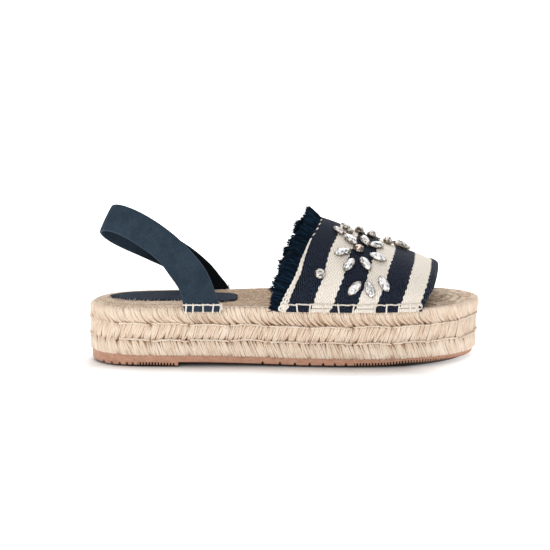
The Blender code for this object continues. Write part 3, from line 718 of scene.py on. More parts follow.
def make_fuzz():
    """Loose jute fibres: some stand off the rows, many lie felted over the rim."""
    rng = np.random.default_rng(31)
    count = FIBRES

    def spread(deviation):
        """A number for each fibre."""
        return rng.normal(0, deviation, (count, 1))

    s = rng.uniform(0, AROUND, count)
    x = ring_x(s)
    heel = roundness(x)
    kind = rng.uniform(0, 1, count)
    felt, foot, on_sock = (within(kind, [span]) for span in (FELTED, AT_FOOT, OVER_SOCK))
    on_sock = on_sock & (x < PAD_FRONT_X - 5)
    low, high = row_line(0, x), read(SOLE_STATIONS, x, 3)
    inset = np.where(felt, 0.5 + rng.uniform(0, 1, count) ** 1.3 * (2.2 + 6.5 * heel), 0.35)
    z = np.where(foot, low + 0.3, rng.uniform(low, high, count))
    z = np.where(felt, insole_height(x, inset) - 0.05, z)
    inset = np.where(on_sock, read(PAD_INSETS, x) - rng.uniform(0.1, 0.9, count), inset + toe_lean(x, z))
    z = np.where(on_sock, insole_height(x, inset) + 0.1, z)
    out = outward(s)
    along = np.cross(out, UP)
    away = out * rng.uniform(0.02, 0.4, (count, 1))
    standing = unit(along * spread(0.7) + UP * spread(0.5) + away)
    slope = (fade(inset, 4.5, 0) * heel)[:, None]
    up_slope = unit(UP * slope - out * (1 - slope * 0.45))
    lying = unit(along * spread(1.0) + up_slope * spread(0.8))
    over_edge = unit(along * spread(0.6) - out * 0.8 + UP * rng.uniform(0.5, 0.9, (count, 1)))
    heading = np.select([on_sock[:, None], felt[:, None]], [over_edge, lying], standing)
    curl = unit(rng.normal(0, 1, (count, 3))) * np.where(felt, 0.16, 0.3)[:, None]
    length = rng.uniform(1.0, 3.6, count) * np.where(felt, 0.8, 0.85) * np.where(x > 95, 0.6, 1.0)
    length = length * np.where(on_sock, 0.5, 1.0)
    v = np.linspace(0, 1, 4)[:, None]
    paths = at_height(s, inset, z)[:, None] + (heading[:, None] * v + curl[:, None] * v**2) * length[:, None, None]
    paths[..., 2] = np.maximum(paths[..., 2], 0.2)
    width = FIBRE_WIDTH * (1 - 0.7 * v[:, 0]) * np.where(on_sock, 2.2, 1.0)[:, None]
    made = tubes(paths, out[:, None], width, width, 3, rng.uniform(0.9, 1.5, count))
    add_piece("jute_fuzz", made, JUTE)


# ------------------------------------------------------------------ insole
BRAID_WIDTH = 5.8
BRAID_SLANT = 1.1
BRAID_PITCH = 2.5  # of its yarns
INSOLE_STEP = 0.6
INSOLE_EDGE = 0.95  # inset of its outer edge


def insole_material():
    """Felted jute braid: painted shade darkens it between its turns and in the middle under the upper, so it is
    paler at the toe and the heel.
    """
    shader = Shader("jute_insole", 0.9, Sheen_Weight=0.1, Specular_IOR_Level=0.2)
    along, across, turn = shader.detail()
    edge = abs(across - 0.5)
    slanted = edge * (BRAID_WIDTH * BRAID_SLANT) + along
    fibres = shader.noise(shader.vector(slanted, across * 1.6, turn), 1.5, 5, 0.72)
    lumps = shader.noise(shader.place(0.22), 1.0, 3, 0.6, 0.8)
    swirl = shader.noise(shader.place(0.13), distortion=1.6).range(0.4, 0.62, -0.16, 0.16)
    forward, _, _ = shader.place().parts()
    level = fibres + lumps * 0.5 + (slanted * (TURN / BRAID_PITCH)).sine() * 0.07
    # painted shade in the grooves between the braid's turns, deeper at the toe
    level = level - edge.range(0.36, 0.5, 0.0, 0.34)
    level = level + forward.range(76.0, 90.0, 0.0, 1.0) * (swirl - edge.range(0.28, 0.46, 0.0, 0.3))
    # painted shade: darker in the middle, under the upper and the strap, than at the toe and the heel
    level = level + forward.range(80.0, 108.0, -0.04, 0.2) + forward.range(-75.0, -38.0, 0.13, 0.0)
    colour = level.ramp(
        (0.42, (112, 84, 62)), (0.66, (168, 142, 118)), (0.88, (206, 184, 160)), (1.0, (228, 210, 190))
    )
    return shader.finish(colour, fibres * 0.8 + lumps, 0.45)


def make_insole():
    """The top face: a flat coil of jute braid, each turn a herringbone of two leaning rows of yarn."""
    tree = KDTree(len(RING))
    for index, (x, y) in enumerate(RING):
        tree.insert((x, y, 0), index)
    tree.balance()
    xs, ys = np.arange(-126, 126.5, INSOLE_STEP), np.arange(-46, 47, INSOLE_STEP)
    plan = np.stack(np.meshgrid(xs, ys, indexing="ij"), axis=-1).reshape(-1, 2)
    nearest = [tree.find((x, y, 0)) for x, y in plan]
    index = np.array([found[1] for found in nearest])
    inside = ((RING[index] - plan) * RING_OUT[index]).sum(1) > 0
    inset = np.array([found[2] for found in nearest]) * np.where(inside, 1, -1)
    keep = inset > INSOLE_EDGE - 0.5
    plan, inset, index = plan[keep], inset[keep], index[keep]
    short = np.maximum(INSOLE_EDGE - inset, 0)  # the outermost points move onto the edge line
    plan, inset = plan - RING_OUT[index] * short[:, None], inset + short
    s, x = RING_SHARE[index] * AROUND, plan[:, 0]
    coil = (inset - 0.3) / BRAID_WIDTH + 0.05 * np.sin(s * 0.061) * fade(inset, 0, 6)
    turn, across = np.floor(coil), np.mod(coil, 1.0)
    groove = (np.abs(np.sin(math.pi * across)) ** 0.5 - 1) * fade(inset, 1.4, 3.4)
    slanted = s + np.abs(across - 0.5) * BRAID_WIDTH * BRAID_SLANT + turn * 1.3 + np.sin(s * 0.23) * 0.6
    yarn = np.cos(slanted / BRAID_PITCH * TURN)
    felted, toe = roundness(x), fade(x, 70, 85)
    z = insole_height(x, inset) + groove * (0.9 - 0.85 * felted + 0.5 * toe)
    z = z + (yarn - 1) * (0.19 * (1 - 0.75 * felted) + 0.12 * toe)
    z = z + np.random.default_rng(4).normal(0, 0.035, len(z)) * (1 - 0.8 * felted)
    plan = plan - RING_OUT[index] * (toe_lean(x, z) * fade(inset, 8, 0))[:, None]
    number = -np.ones(len(keep), int)
    number[keep] = np.arange(keep.sum())
    quads = number[grid_faces(len(xs), len(ys))[:, ::-1]]
    made = np.c_[plan, z], [quads[(quads >= 0).all(axis=1)]], np.c_[s + turn * 3.1, across, turn + 20]
    add_piece("insole_braid", made, insole_material())


# ------------------------------------------------------------------ outsole
NOTCHES_X = (-116.4, -111.6, -106.8, -102.3, -98.8, -16.5, -5.6, 3.8, 13.0, 21.5, 28.9, 35.8)
NOTCH_WIDTH, NOTCH_DEPTH = 1.6, 2.2
TEETH_X = ((-95.6, -71.4), (41.0, 117.0))  # from x to x, fine teeth round the edge
TOOTH_PITCH = 1.97
TOOTH_SHARE = 0.42  # of the pitch that is rubber
TOOTH_HEIGHT = 1.6
EDGE_LIFT = (  # x, height of the side's lower edge over the tread, how far the tread is undercut
    (-130, 1.2, 2.4), (-112, 1.0, 2.6), (-87, 1.8, 2.6), (-72, 1.2, 2.8), (-69, 0.8, 6.5), (-55, 1.2, 6.5),
    (0, 1.5, 6.5), (40, 1.7, 6.0), (60, 2.0, 6.0), (74, 3.0, 5.5), (87, 2.6, 5.5), (103, 2.2, 4.5), (114, 1.3, 3.4),
    (126, 0.7, 2.2),
)
GROOVES_X = ((-112, -74), (0, 100))  # from x to x, grooves in the tread
GROOVE_PITCH = 5.0
OUTSOLE_COLUMNS = 2800


def rubber_material():
    """Tan rubber, with painted shade in its notches and underneath."""
    shader = Shader("tan_rubber", 0.6, Specular_IOR_Level=0.3)
    mottle = shader.noise(shader.place(0.25, 0.25, 0.6), 1.0, 5, 0.6)
    painted_shade_level, _, _ = shader.detail()
    colour = mottle.ramp((0.25, (168, 122, 98)), (0.5, (190, 144, 120)), (0.75, (204, 160, 134)))
    # painted shade: the notches, the undercut and the tread darken towards near black
    colour = shader.mix(painted_shade_level.range(0.0, 1.0, 0.0, 0.97), colour, linear((30, 16, 10)))
    grain = shader.noise(shader.place(), 2.6, 3, 0.6)
    return shader.finish(colour, grain, 0.05, Roughness=mottle.range(0.3, 0.7, 0.5, 0.68))


def make_outsole():
    """The moulded rubber sole: fine teeth and notches over an undercut tread, heel block and arch."""
    s = np.arange(OUTSOLE_COLUMNS) / OUTSOLE_COLUMNS * AROUND
    x = ring_x(s, 3.0)
    toothed = within(x, TEETH_X)
    phase = np.abs(np.mod(s, TOOTH_PITCH) / TOOTH_PITCH - 0.5) * 2 - TOOTH_SHARE
    to_notch = np.abs(x[:, None] - np.array(NOTCHES_X)).min(1) / NOTCH_WIDTH
    cut = np.maximum(toothed * fade(phase, 0, 0.16), np.clip(1.25 - to_notch * 2, 0, 1))
    narrow = np.maximum(toothed * fade(phase, 0.08, 0.24), np.clip(1.0 - to_notch * 2.6, 0, 1))
    wall = 2.75 - fade(x, -96, -122) * 1.1 + fade(x, 86, 120) ** 1.5 * 1.1
    floor, top = read(TREAD_PROFILE, x), row_line(0, x) + 1.3
    edge = floor + read(EDGE_LIFT, x)
    tooth = edge + TOOTH_HEIGHT * np.clip((119 - x) / 30, 0.5, 1)
    levels = (  # height, inset, painted shade
        (floor, wall + read(EDGE_LIFT, x, 2), 1.0),
        (edge - 0.4, wall + 1.5, 1.0),
        (edge - 0.05, wall + 0.45 + cut * NOTCH_DEPTH, 0.55 + 0.45 * cut),
        (edge + 0.2, wall + 0.05 + cut * NOTCH_DEPTH, 0.1 + cut),
        ((edge + tooth) / 2, wall + narrow * NOTCH_DEPTH, narrow),
        (tooth, wall + narrow * NOTCH_DEPTH * 0.8, narrow),
        (tooth + 0.06, wall, 0.0),
        ((tooth + top) / 2, wall - 0.12, 0.0),
        (top, wall - 0.15, 0.0),
        (top, wall + 4.0, 0.0),
    )
    rings = [at_height(s, inset, z) for z, inset, _ in levels]
    painted_shade_levels = [np.broadcast_to(painted_shade_level, s.shape) for _, _, painted_shade_level in levels]
    start = rings[0][:, :2]
    spine_x = np.clip(start[:, 0], -100, 95)
    spine = np.c_[spine_x, (edge_y(spine_x, -1) + edge_y(spine_x, 1)) / 2]
    for share in np.r_[np.linspace(0.15, 0.9, 6), 0.985]:  # the tread, in to the sole's middle line
        plan = start + (spine - start) * share
        x, y = plan.T
        wave = np.abs(np.mod(x + np.abs(y) * 0.35, GROOVE_PITCH) - GROOVE_PITCH / 2)
        groove = within(x, GROOVES_X) * fade(wave, 0.8, 0)
        rings.insert(0, np.c_[plan, read(TREAD_PROFILE, x) + groove * 0.9])
        # the tread underneath carries painted shade, deeper in its grooves
        painted_shade_levels.insert(0, 0.55 + 0.45 * groove)
    values = np.concatenate(painted_shade_levels)[:, None] * np.array([1.0, 0, 0])
    made = np.vstack(rings), band_faces(len(rings), OUTSOLE_COLUMNS), values
    piece = add_piece("rubber_outsole", made, rubber_material(), ["outsole"])
    piece.data.set_sharp_from_angle(angle=math.radians(40))


# ------------------------------------------------------------------ suede
PAD_CORNER = 9.0
PAD_PROFILE = (  # further inset, height over the top face: underside, edge, top
    (0.6, 0.05), (0.15, 0.25), (0.0, 0.55), (0.15, 0.85), (0.6, 1.05), (1.6, 1.12), (4.0, 1.1), (8.0, 1.05),
)
PAD_COLUMNS = 260
STRAP_SECTIONS = 300
STRAP_HALF, STRAP_CUP, STRAP_ROUNDING = STRAP_THICKNESS * 0.425, 0.35, 0.45  # half thickness, bulge, round edge


def suede_material(name, dark, mid, pale, nap=0.08):
    """Suede: a soft nap with cloudy patches and fine grain, cut edges made paler, partly by a painted highlight,
    and painted shade on the inner face.
    """
    shader = Shader(name, 0.92, Sheen_Weight=0.12, Sheen_Roughness=0.45, Specular_IOR_Level=0.12)
    shader.set(shader.principled, Sheen_Tint=linear(pale))
    _, edge, inside = shader.detail()
    grain = shader.noise(shader.place(), 1.5, 4, 0.75)
    level = grain * 0.65 + shader.noise(shader.place(0.12), 1.0, 5, 0.65, 0.4) * 0.35
    colour = level.ramp((0.34, dark), (0.5, mid), (0.66, pale))
    # paler cut edges: partly the cut suede's own colour, partly a painted highlight
    colour = shader.mix(edge.range(0.0, 0.5, 0.55, 0.0), colour, linear([v + 22 for v in pale]))
    # painted shade darkens the inner face by the share the mesh gives
    colour = shader.mix(inside, colour, linear((10, 12, 15)))
    return shader.finish(colour, grain, nap)


def make_sock():
    """The suede sock in the heel of the insole."""
    around = np.linspace(0, AROUND, 8001)
    in_front = np.flatnonzero(ring_x(around) > PAD_FRONT_X)
    s = np.linspace(around[in_front[-1] + 1] - AROUND, around[in_front[0]], PAD_COLUMNS)
    x = ring_x(s)
    into_corner = fade(x, PAD_FRONT_X - PAD_CORNER, PAD_FRONT_X)
    edge = read(PAD_INSETS, x) + PAD_CORNER * (1 - np.sqrt(1 - into_corner**2))
    rings, values = [], []
    for further, lift in PAD_PROFILE:
        inset = edge + further + 0.2 * np.sin(s * 0.31) * (further < 3)
        z = insole_height(ring_x(s, inset), inset) + lift - 0.1
        rings.append(at_height(s, inset, z))
        # the edge number gives the sock's rim a pale line, partly a painted highlight
        values.append(np.full((PAD_COLUMNS, 3), (0, further + 0.2, 0)))
    step = np.arange(PAD_COLUMNS // 2 - 1)  # the two caps, as rungs from the lateral to the medial side
    rungs = np.c_[step, step + 1, PAD_COLUMNS - 2 - step, PAD_COLUMNS - 1 - step]
    faces = [grid_faces(len(rings), PAD_COLUMNS, close_columns=True)]
    faces += [rungs + (len(rings) - 1) * PAD_COLUMNS, rungs[:, ::-1]]
    suede = suede_material("navy_suede_sock", (16, 24, 36), (29, 39, 53), (47, 58, 74), 0.14)
    add_piece("heel_sock", (np.vstack(rings), faces, np.vstack(values)), suede, ["heel_pad"])


def strap_foot(side):
    """The strap's two edges at its hem and at the stitch line."""
    front_hem, front_stitch, rear_hem, rear_stitch = STRAP_FEET[side]
    out = side * (HEM_CLEARANCE + STRAP_THICKNESS / 2)
    return [
        (front, edge_y(front, side) + out, z, rear, edge_y(rear, side) + out, z)
        for front, rear, z in ((front_hem, rear_hem, HEM_Z), (front_stitch, rear_stitch, STITCH_Z))
    ]


def make_strap():
    """The suede sling round the heel, with rounded cut edges."""
    curve, share = smooth_curve([*strap_foot(-1), *STRAP_ROUTE, *strap_foot(1)[::-1]])
    at = np.linspace(0, 1, STRAP_SECTIONS)
    upper, lower = np.split(resample(curve, share, at), 2, axis=1)
    outwards = unit(np.cross(upper - lower, unit(np.gradient((upper + lower) / 2, axis=0))))
    width = np.linalg.norm(upper - lower, axis=1)
    inner_shade = 0.1 + 0.84 * fade(at, 0.6, 0.88)  # painted shade on the inner face, darkest at the medial foot
    across = np.linspace(0, 1, 15)[1:-1]
    lower_edge, upper_edge = (np.sin(np.radians(turns)) for turns in ((60, 20, -20, -60), (-60, -20, 20, 60)))
    section = [(t, 1.0) for t in across] + [(1.0, side) for side in lower_edge]
    section += [(t, -1.0) for t in across[::-1]] + [(0.0, side) for side in upper_edge]
    points, values = [], []
    for t, side in section:  # share from the upper edge to the lower, share of half the thickness
        on_edge = t in (0.0, 1.0)
        reach = (2 * t - 1) * math.sqrt(1 - side * side) * STRAP_ROUNDING * on_edge
        out = side * STRAP_HALF + STRAP_CUP * (1 - (2 * t - 1) ** 2)
        base = upper + (lower - upper) * np.clip(t, 0.02, 0.98)
        points.append(base + unit(lower - upper) * reach + outwards * out)
        near = min(t, 1 - t) * width * (not on_edge) + (t < 0.5) * fade(at, 0.2, 0.3)  # the upper edge keeps no pale line, partly a painted highlight, past the first quarter of the way round
        values.append(np.c_[at * 260, near, inner_shade * (side < -0.5)])
    faces = [group[:, ::-1] for group in band_faces(STRAP_SECTIONS, len(section))]
    made = np.stack(points, axis=1), faces, np.stack(values, axis=1)
    suede = suede_material("navy_suede", (32, 44, 55), (42, 55, 67), (56, 70, 83))
    add_piece("heel_sling", made, suede, ["heel_strap"])


# ------------------------------------------------------------------ vamp
STRIPES = (15.5, 12.5, 15.1, 12.6, 15.0, 12.6, 5.2)  # widths from the seam to the front edge, navy first
STRIPED = sum(STRIPES)
SEAM = (  # share of the way up to the ridge, the cloth's back edge, the chain stitch's middle and half width
    (-1.0, -0.9, 1.6, 2.2), (0.0, -0.9, 1.6, 2.2), (0.08, -0.75, 1.0, 1.7), (0.16, -0.3, 1.1, 1.4),
    (0.26, -0.4, 1.2, 1.4), (0.36, -0.85, 0.05, 1.0), (0.46, -0.95, -0.3, 0.65), (0.56, -0.8, -0.25, 0.45),
    (0.64, -0.4, 0.7, 0.4), (0.74, 0.3, 1.3, 0.3), (0.85, 0.8, 1.2, 0.3), (1.0, 0.8, 1.2, 0.3),
)
VAMP_ROWS, VAMP_COLUMNS, HEM_COLUMNS = 116, 188, 16
CLOTH_LENGTH = 92.0
CLOTH_WALL = 1.25
HEM_FOOT_Z, HEM_GROOVE_Z, HEM_TOP_Z = 36.4, 39.0, 41.7  # the sewn hem is two soft rolls, with a groove between
RIB_PITCH = 3.1
SCALLOP_PITCH = 4.1
THREAD_PITCH = 0.62


def seam(a, column):
    """One column of the seam's table: the edge (1), the chain's middle (2) or its half width (3)."""
    return read(SEAM, 1 - np.abs(a), column)


def cloth_coordinates(u, a):
    """Across the stripes from the seam, along them from the lateral hem, and the cloth's length there."""
    girths = np.linspace(-2, 2, 401)
    grid = vamp_point(np.linspace(0, 1, 60)[:, None], girths)
    length = np.interp(a, girths, np.linalg.norm(np.diff(grid, axis=0), axis=2).sum(0))
    band = seam(a, 2) + seam(a, 3)
    across = (u * length - band) * STRIPED / (length - band)
    across = across + fade(np.abs(a), 1, 0) * np.interp(across, (0, 15.5, 28.0, 43.0), (0, 2.6, 1.1, 0))
    back, front = (np.interp(a, girths, walk(row)) - np.interp(0.0, girths, walk(row)) for row in grid[[0, -1]])
    return across, back * (1 - u) + front * u + 120, length


def vamp_material():
    """Striped herringbone twill: scalloped stripe edges, leaning ribs, flecks of paler thread, and painted shade in
    the hem's groove.
    """
    shader = Shader("striped_twill", 0.9, Sheen_Weight=0.04, Sheen_Roughness=0.5, Specular_IOR_Level=0.12)
    across, along, hem = shader.detail()

    def flat_noise(x, y, *settings):
        """Noise on the cloth laid flat."""
        return shader.noise(shader.vector(across * x, along * y), 1.0, *settings)

    wobble, fine = flat_noise(0.28, 0.28, 3), flat_noise(1.3, 1.3)
    scallop = (wobble * 4.0 + along * (TURN / SCALLOP_PITCH)).sine() * 0.5 + 0.5
    place = scallop * 0.7 + wobble + fine * 0.6 - 1.2 + across
    starts = np.r_[0, np.cumsum(STRIPES)[:-1]]
    stops = [((start + 6.0) / (STRIPED + 8.0), float(k % 2)) for k, start in enumerate(starts)]
    is_cream = ((place + 6.0) / (STRIPED + 8.0)).ramp((0.0, 0.0), *stops, constant=True)

    rib = (across + 2.0).pingpong(6.9) * 2.1 + along + wobble * 1.6
    wave = (rib * (TURN / RIB_PITCH)).sine() * 0.5 + 0.5
    thread = (across * (TURN / THREAD_PITCH)).sine() * 0.5 + 0.5
    weave = wave * 0.6 + thread * 0.1 + fine * 0.5
    cream = weave.ramp((0.22, (202, 189, 173)), (0.58, (230, 221, 209)), (0.9, (243, 236, 227)))
    navy = weave * 0.3 + flat_noise(1.3, 0.55, 4, 0.75) * 0.7
    navy = navy.ramp((0.4, (2, 5, 10)), (0.5, (8, 13, 22)), (0.61, (46, 54, 72)))
    colour = shader.mix(is_cream, navy, cream)
    at_front = across.range(STRIPED - 4.4, STRIPED - 3.4, 0.0, 1.0)
    speck = flat_noise(0.9, 1.7).range(0.58, 0.68, 0.0, 0.55) * at_front
    colour = shader.mix(speck, colour, linear((150, 154, 162)))
    # painted shade: a grey line on the cream along the groove between the hem's two rolls
    hem_groove_shade = abs(hem - (HEM_GROOVE_Z - HEM_Z)).range(0.1, 0.4, 0.7, 0.0) * is_cream
    colour = shader.mix(hem_groove_shade, colour, linear((92, 88, 90)))
    return shader.finish(colour, weave, 0.26)


def vamp_surface(u, a):
    """The cloth's outer face with a bulged selvedge at the toe edge and light waves, its inner face,
    the way outwards and the cloth's coordinates."""
    from_front = np.interp(1 - np.abs(a), (0, 0.3), (1.9, 0.0))  # the toe edge is drawn back near the hems
    u = u + ((1 - u) * seam(a, 1) - u * from_front) / CLOTH_LENGTH
    point, _, _, outwards = vamp_frame(u, a)
    across, along, _ = cloth_coordinates(u, a)
    into = fade(across, STRIPED - STRIPES[-1], STRIPED)
    rope = np.sin(math.pi * into) * (0.25 + 0.4 * np.abs(np.sin((along + across * 0.8) * math.pi / RIB_PITCH)))
    waves = 0.22 * np.sin(along * 0.16 + across * 0.09) + 0.14 * np.sin(across * 0.21 - along * 0.07 + 1.3)
    waves = waves * fade(np.abs(a), 1, 0) ** 0.5
    z = point[..., 2]
    upper, lower = fade(z, HEM_GROOVE_Z, HEM_TOP_Z), fade(z, HEM_GROOVE_Z, HEM_FOOT_Z)
    roll = 0.5 * np.sin(math.pi * np.maximum(upper, lower)) ** 0.6 * ((upper > 0) | (lower > 0))
    outer = point + outwards * (rope + waves + roll)[..., None]
    return outer, point - outwards * CLOTH_WALL, outwards, across, along


def make_vamp():
    """The cloth shell, with its own thickness and rounded front and back edges."""
    hem, arch = np.linspace(1, 2, HEM_COLUMNS + 1), np.linspace(-1, 1, VAMP_COLUMNS)
    a = np.r_[-hem[:0:-1], arch, hem[1:]][None, :]
    outer, inner, outwards, across, along = vamp_surface(np.linspace(0, 1, VAMP_ROWS)[:, None], a)
    forwards = unit(outer[1:] - outer[:-1])

    def rounded(row, degrees, reach):
        """Points round the cut edge at a row."""
        turn = np.radians(degrees)[:, None, None]
        over = (outwards[row] * np.cos(turn) + forwards[row] * np.sin(turn) * reach) * CLOTH_WALL / 2
        return (outer[row] + inner[row]) / 2 + over

    loop = np.concatenate([outer, rounded(-1, (45, 90, 135), 0.8), inner[::-1], rounded(0, (135, 90, 45), -0.5)])
    rows = np.arange(VAMP_ROWS)
    pick = np.r_[rows, [VAMP_ROWS - 1] * 3, rows[::-1], [0] * 3]
    count, columns = loop.shape[:2]
    ends = np.arange(count) * columns
    faces = [grid_faces(count, columns, close_rows=True)[:, ::-1], np.vstack([ends, (ends + columns - 1)[::-1]])]
    values = np.stack([across[pick], along[pick], (outer[..., 2] - HEM_Z)[pick]], axis=-1)
    return add_piece("striped_vamp", (loop, faces, values), vamp_material(), ["vamp"])


# ------------------------------------------------------------------ fringe
FRINGE_THREADS = 2600
LOCK_WIDTH = 2.6


def thread_material(name, dark, mid, pale, roughness=0.75, sheen=0.08):
    """Cotton thread: a tone for each, fine twist along it."""
    shader = Shader(name, roughness, Sheen_Weight=sheen, Specular_IOR_Level=0.1)
    along, turn, tone = shader.detail()
    grain = shader.noise(shader.vector(along, turn * 3.0, tone * 91.0), 0.8, 3)
    colour = (grain * 0.5 + tone * 0.5).ramp((0.2, dark), (0.5, mid), (0.8, pale))
    return shader.finish(colour, (along * 5.2 + turn * TURN).sine(), 0.06)


def make_fringe():
    """The cut navy threads behind the cloth's back edge, in loose locks."""
    rng = np.random.default_rng(17)
    count = FRINGE_THREADS
    bounds = np.linspace(-1.97, 1.97, 801)
    walked = walk(vamp_point(0, bounds))
    at = np.sort(rng.uniform(0, walked[-1], count))
    a = np.interp(at, walked, bounds)
    climb = 1 - np.abs(a)
    lock = np.floor(at / LOCK_WIDTH).astype(int)
    longer, sway, lift = (rng.normal(0, spread, lock.max() + 1)[lock] for spread in (0.06, 0.45, 0.35))
    length = read(FRINGE_LENGTH, climb) * (1 + longer + rng.normal(0, 0.085, count))
    point, forwards, around, outwards = (v[:, None] for v in vamp_frame(np.zeros(count), a))
    flare = np.radians(read(FRINGE_FLARE, climb) + rng.normal(0, 5.5, count))
    layer = rng.uniform(-0.75, 0.3, (count, 1))
    v = np.linspace(0, 1, 7)[None, :]
    reach = v * length[:, None]
    gather = ((lock + 0.5) * LOCK_WIDTH - at)[:, None] * 0.2 * v**1.5 + sway[:, None] * v**2
    gather = gather + rng.normal(0, 0.75, (count, 1)) * v**1.6
    down = np.sign(a)[:, None] * 0.10 * reach * v
    out = layer * (1 - 0.35 * v) + np.sin(flare)[:, None] * reach + lift[:, None] * v**2
    curl = rng.normal(0, 0.35, (count, 1)) * np.sin(v * math.pi * rng.uniform(0.7, 1.9, (count, 1)))
    paths = (
        point - outwards * WALL / 2
        + forwards * (0.6 - reach - 0.6 * v)[..., None]
        + around * (gather + down + curl * 0.8)[..., None]
        + outwards * (out + curl)[..., None]
    )
    width = 0.27 * (1 - 0.55 * v**6) * rng.uniform(0.75, 1.25, (count, 1))
    made = tubes(paths, outwards, width, width, 4, rng.uniform(0, 1, count) ** 1.3)
    material = thread_material("navy_fringe_thread", (4, 10, 18), (11, 28, 43), (31, 62, 87), 0.85, 0.0)
    add_piece("navy_fringe", made, material, ["fringe"])


# ------------------------------------------------------------------ sewing thread
VAMP_STITCHES_X = (-2.8, 4.8, 12.8, 20.9, 30.6, 39.8, 53.3, 60.5, 68.3, 75.6, 80.6)
VAMP_STITCH = ((41.9, 0.2), (41.0, 1.0), (39.9, 0.95), (38.9, 0.75), (37.9, 0.95), (36.9, 0.8), (36.1, -0.4))
STRAP_STITCHES_X = (-64.9, -60.5, -54.2, -47.9, -43.1)
STRAP_STITCH = (  # height, how far it stands off the cloth
    (41.5, 0.1), (40.9, 1.0), (39.8, 0.75), (38.6, 0.65), (37.4, 0.7), (36.5, 0.5), (35.8, -0.8),
)
MEDIAL_SHIFT = 9.0  # of the vamp's stitches
THREAD_RADIUS, THREAD_TWIST = 0.36, 2.4  # radius of a ply, pitch of the two plies
CHAIN_PITCH = 3.1
DASH_HALF = 0.5  # where the seam is narrower, the chain's loops close to dashes
CHAIN_END = 0.88  # share of the way up to the ridge
THREAD = thread_material("cream_thread", (204, 192, 178), (228, 219, 207), (242, 236, 227))


def hem_point(x, z, side, proud):
    """A point off the vamp's sewn hem, straight up over the stitch line and straight down under the hem."""
    below = min(max(STITCH_Z - z, 0.0), STITCH_Z - HEM_Z)
    back, front = (section[side > 0] for section in VAMP_SECTIONS)
    forward = (x + below * HEM_SLOPE - back) / (front - back)
    point, _, _, outwards = vamp_frame(forward, side * (1 + below / (STITCH_Z - HEM_Z)))
    return point + outwards * proud + UP * (z - STITCH_Z + below)


def strap_point(x, z, side, proud):
    """A point on the outer face of the strap's foot."""
    out = HEM_CLEARANCE + STRAP_THICKNESS + proud
    return np.array([x, float(edge_y(x, side)) + side * out, z])


def cord(points, seed, radius):
    """A two-ply cord along points, as tubes."""
    rng = np.random.default_rng(seed)
    curve, share = smooth_curve(points, samples=900)
    length = walk(curve)[-1]
    at = np.linspace(0, 1, max(int(length / 0.32), 8))
    middle = resample(curve, share, at)
    along = unit(np.gradient(middle, axis=0))
    across = unit(np.cross(along, (0, np.sign(middle[:, 1].mean()), 0.15)))
    twist = at * length / THREAD_TWIST * TURN + rng.uniform(0, 6)
    tone = np.full(2, rng.uniform(0.35, 1.0))
    return two_ply(middle, np.cross(across, along), across, twist, radius * 0.62, radius, 6, tone)


def make_blanket_stitches():
    """The cream cords that sew the vamp and the strap on: a line along, and stitches down into the jute."""
    rng = np.random.default_rng(43)
    parts = []

    def sew(place, path, seed, radius=THREAD_RADIUS):
        """A cord through points given as x, height and how far they stand off the cloth."""
        parts.append(cord([place(x, z, side, proud) for x, z, proud in path], seed + side, radius))

    for side in (-1, 1):
        shift = 0 if side < 0 else MEDIAL_SHIFT
        wave = rng.normal(0, 0.18, 40)
        line = [(x + shift, STITCH_Z + dz - 0.05, 0.55) for x, dz in zip(np.linspace(-5.5, 82.2, 40), wave)]
        sew(hem_point, line + [(83.0 + shift, z, 0.75) for z in (40.6, 39.0, 37.6)], 61, 0.34)
        for number, x in enumerate(VAMP_STITCHES_X):
            lean = rng.normal(0, 0.35)
            path = [(x + shift + lean * (z - 39) / 3, z, proud) for z, proud in VAMP_STITCH]
            sew(hem_point, path, 70 + number)
        for turn in range(3):  # loops at the back corner
            x = -4.2 + turn * 1.3 + shift
            path = [
                (x + 0.9 * math.sin(k * 0.9), 41.6 - k * 0.75, 1.0 + 0.3 * math.sin(k * 1.3)) for k in range(7)
            ]
            sew(hem_point, path, 90 + turn, 0.42)
        turns = np.linspace(0.4, 5.6, 10)  # the ring at the front end
        path = [(81.0 + shift + 1.5 * math.cos(k), 39.6 + 1.5 * math.sin(k), 1.1) for k in turns]
        sew(hem_point, path, 97, 0.33)

        shift = STRAP_FEET[side][1] - STRAP_FEET[-1][1]
        heights = [40.4 - 0.6 * side + rng.normal(0, 0.12) for _ in range(14)]
        path = [(x + shift, z, 0.75) for x, z in zip(np.linspace(-66.9, -44.2, 14), heights)]
        path += [
            (x + shift, z - 0.8 - 0.8 * side, 0.7) for x, z in ((-43.0, 40.5), (-42.4, 39.4), (-42.2, 37.8))
        ]
        sew(strap_point, path, 101)
        for number, x in enumerate(STRAP_STITCHES_X):
            lean = rng.normal(0, 0.3)
            path = [(x + shift + lean * (z - 39) / 3, z, proud) for z, proud in STRAP_STITCH]
            sew(strap_point, path, 110 + number)
    add_piece("blanket_stitches", join(parts), THREAD)


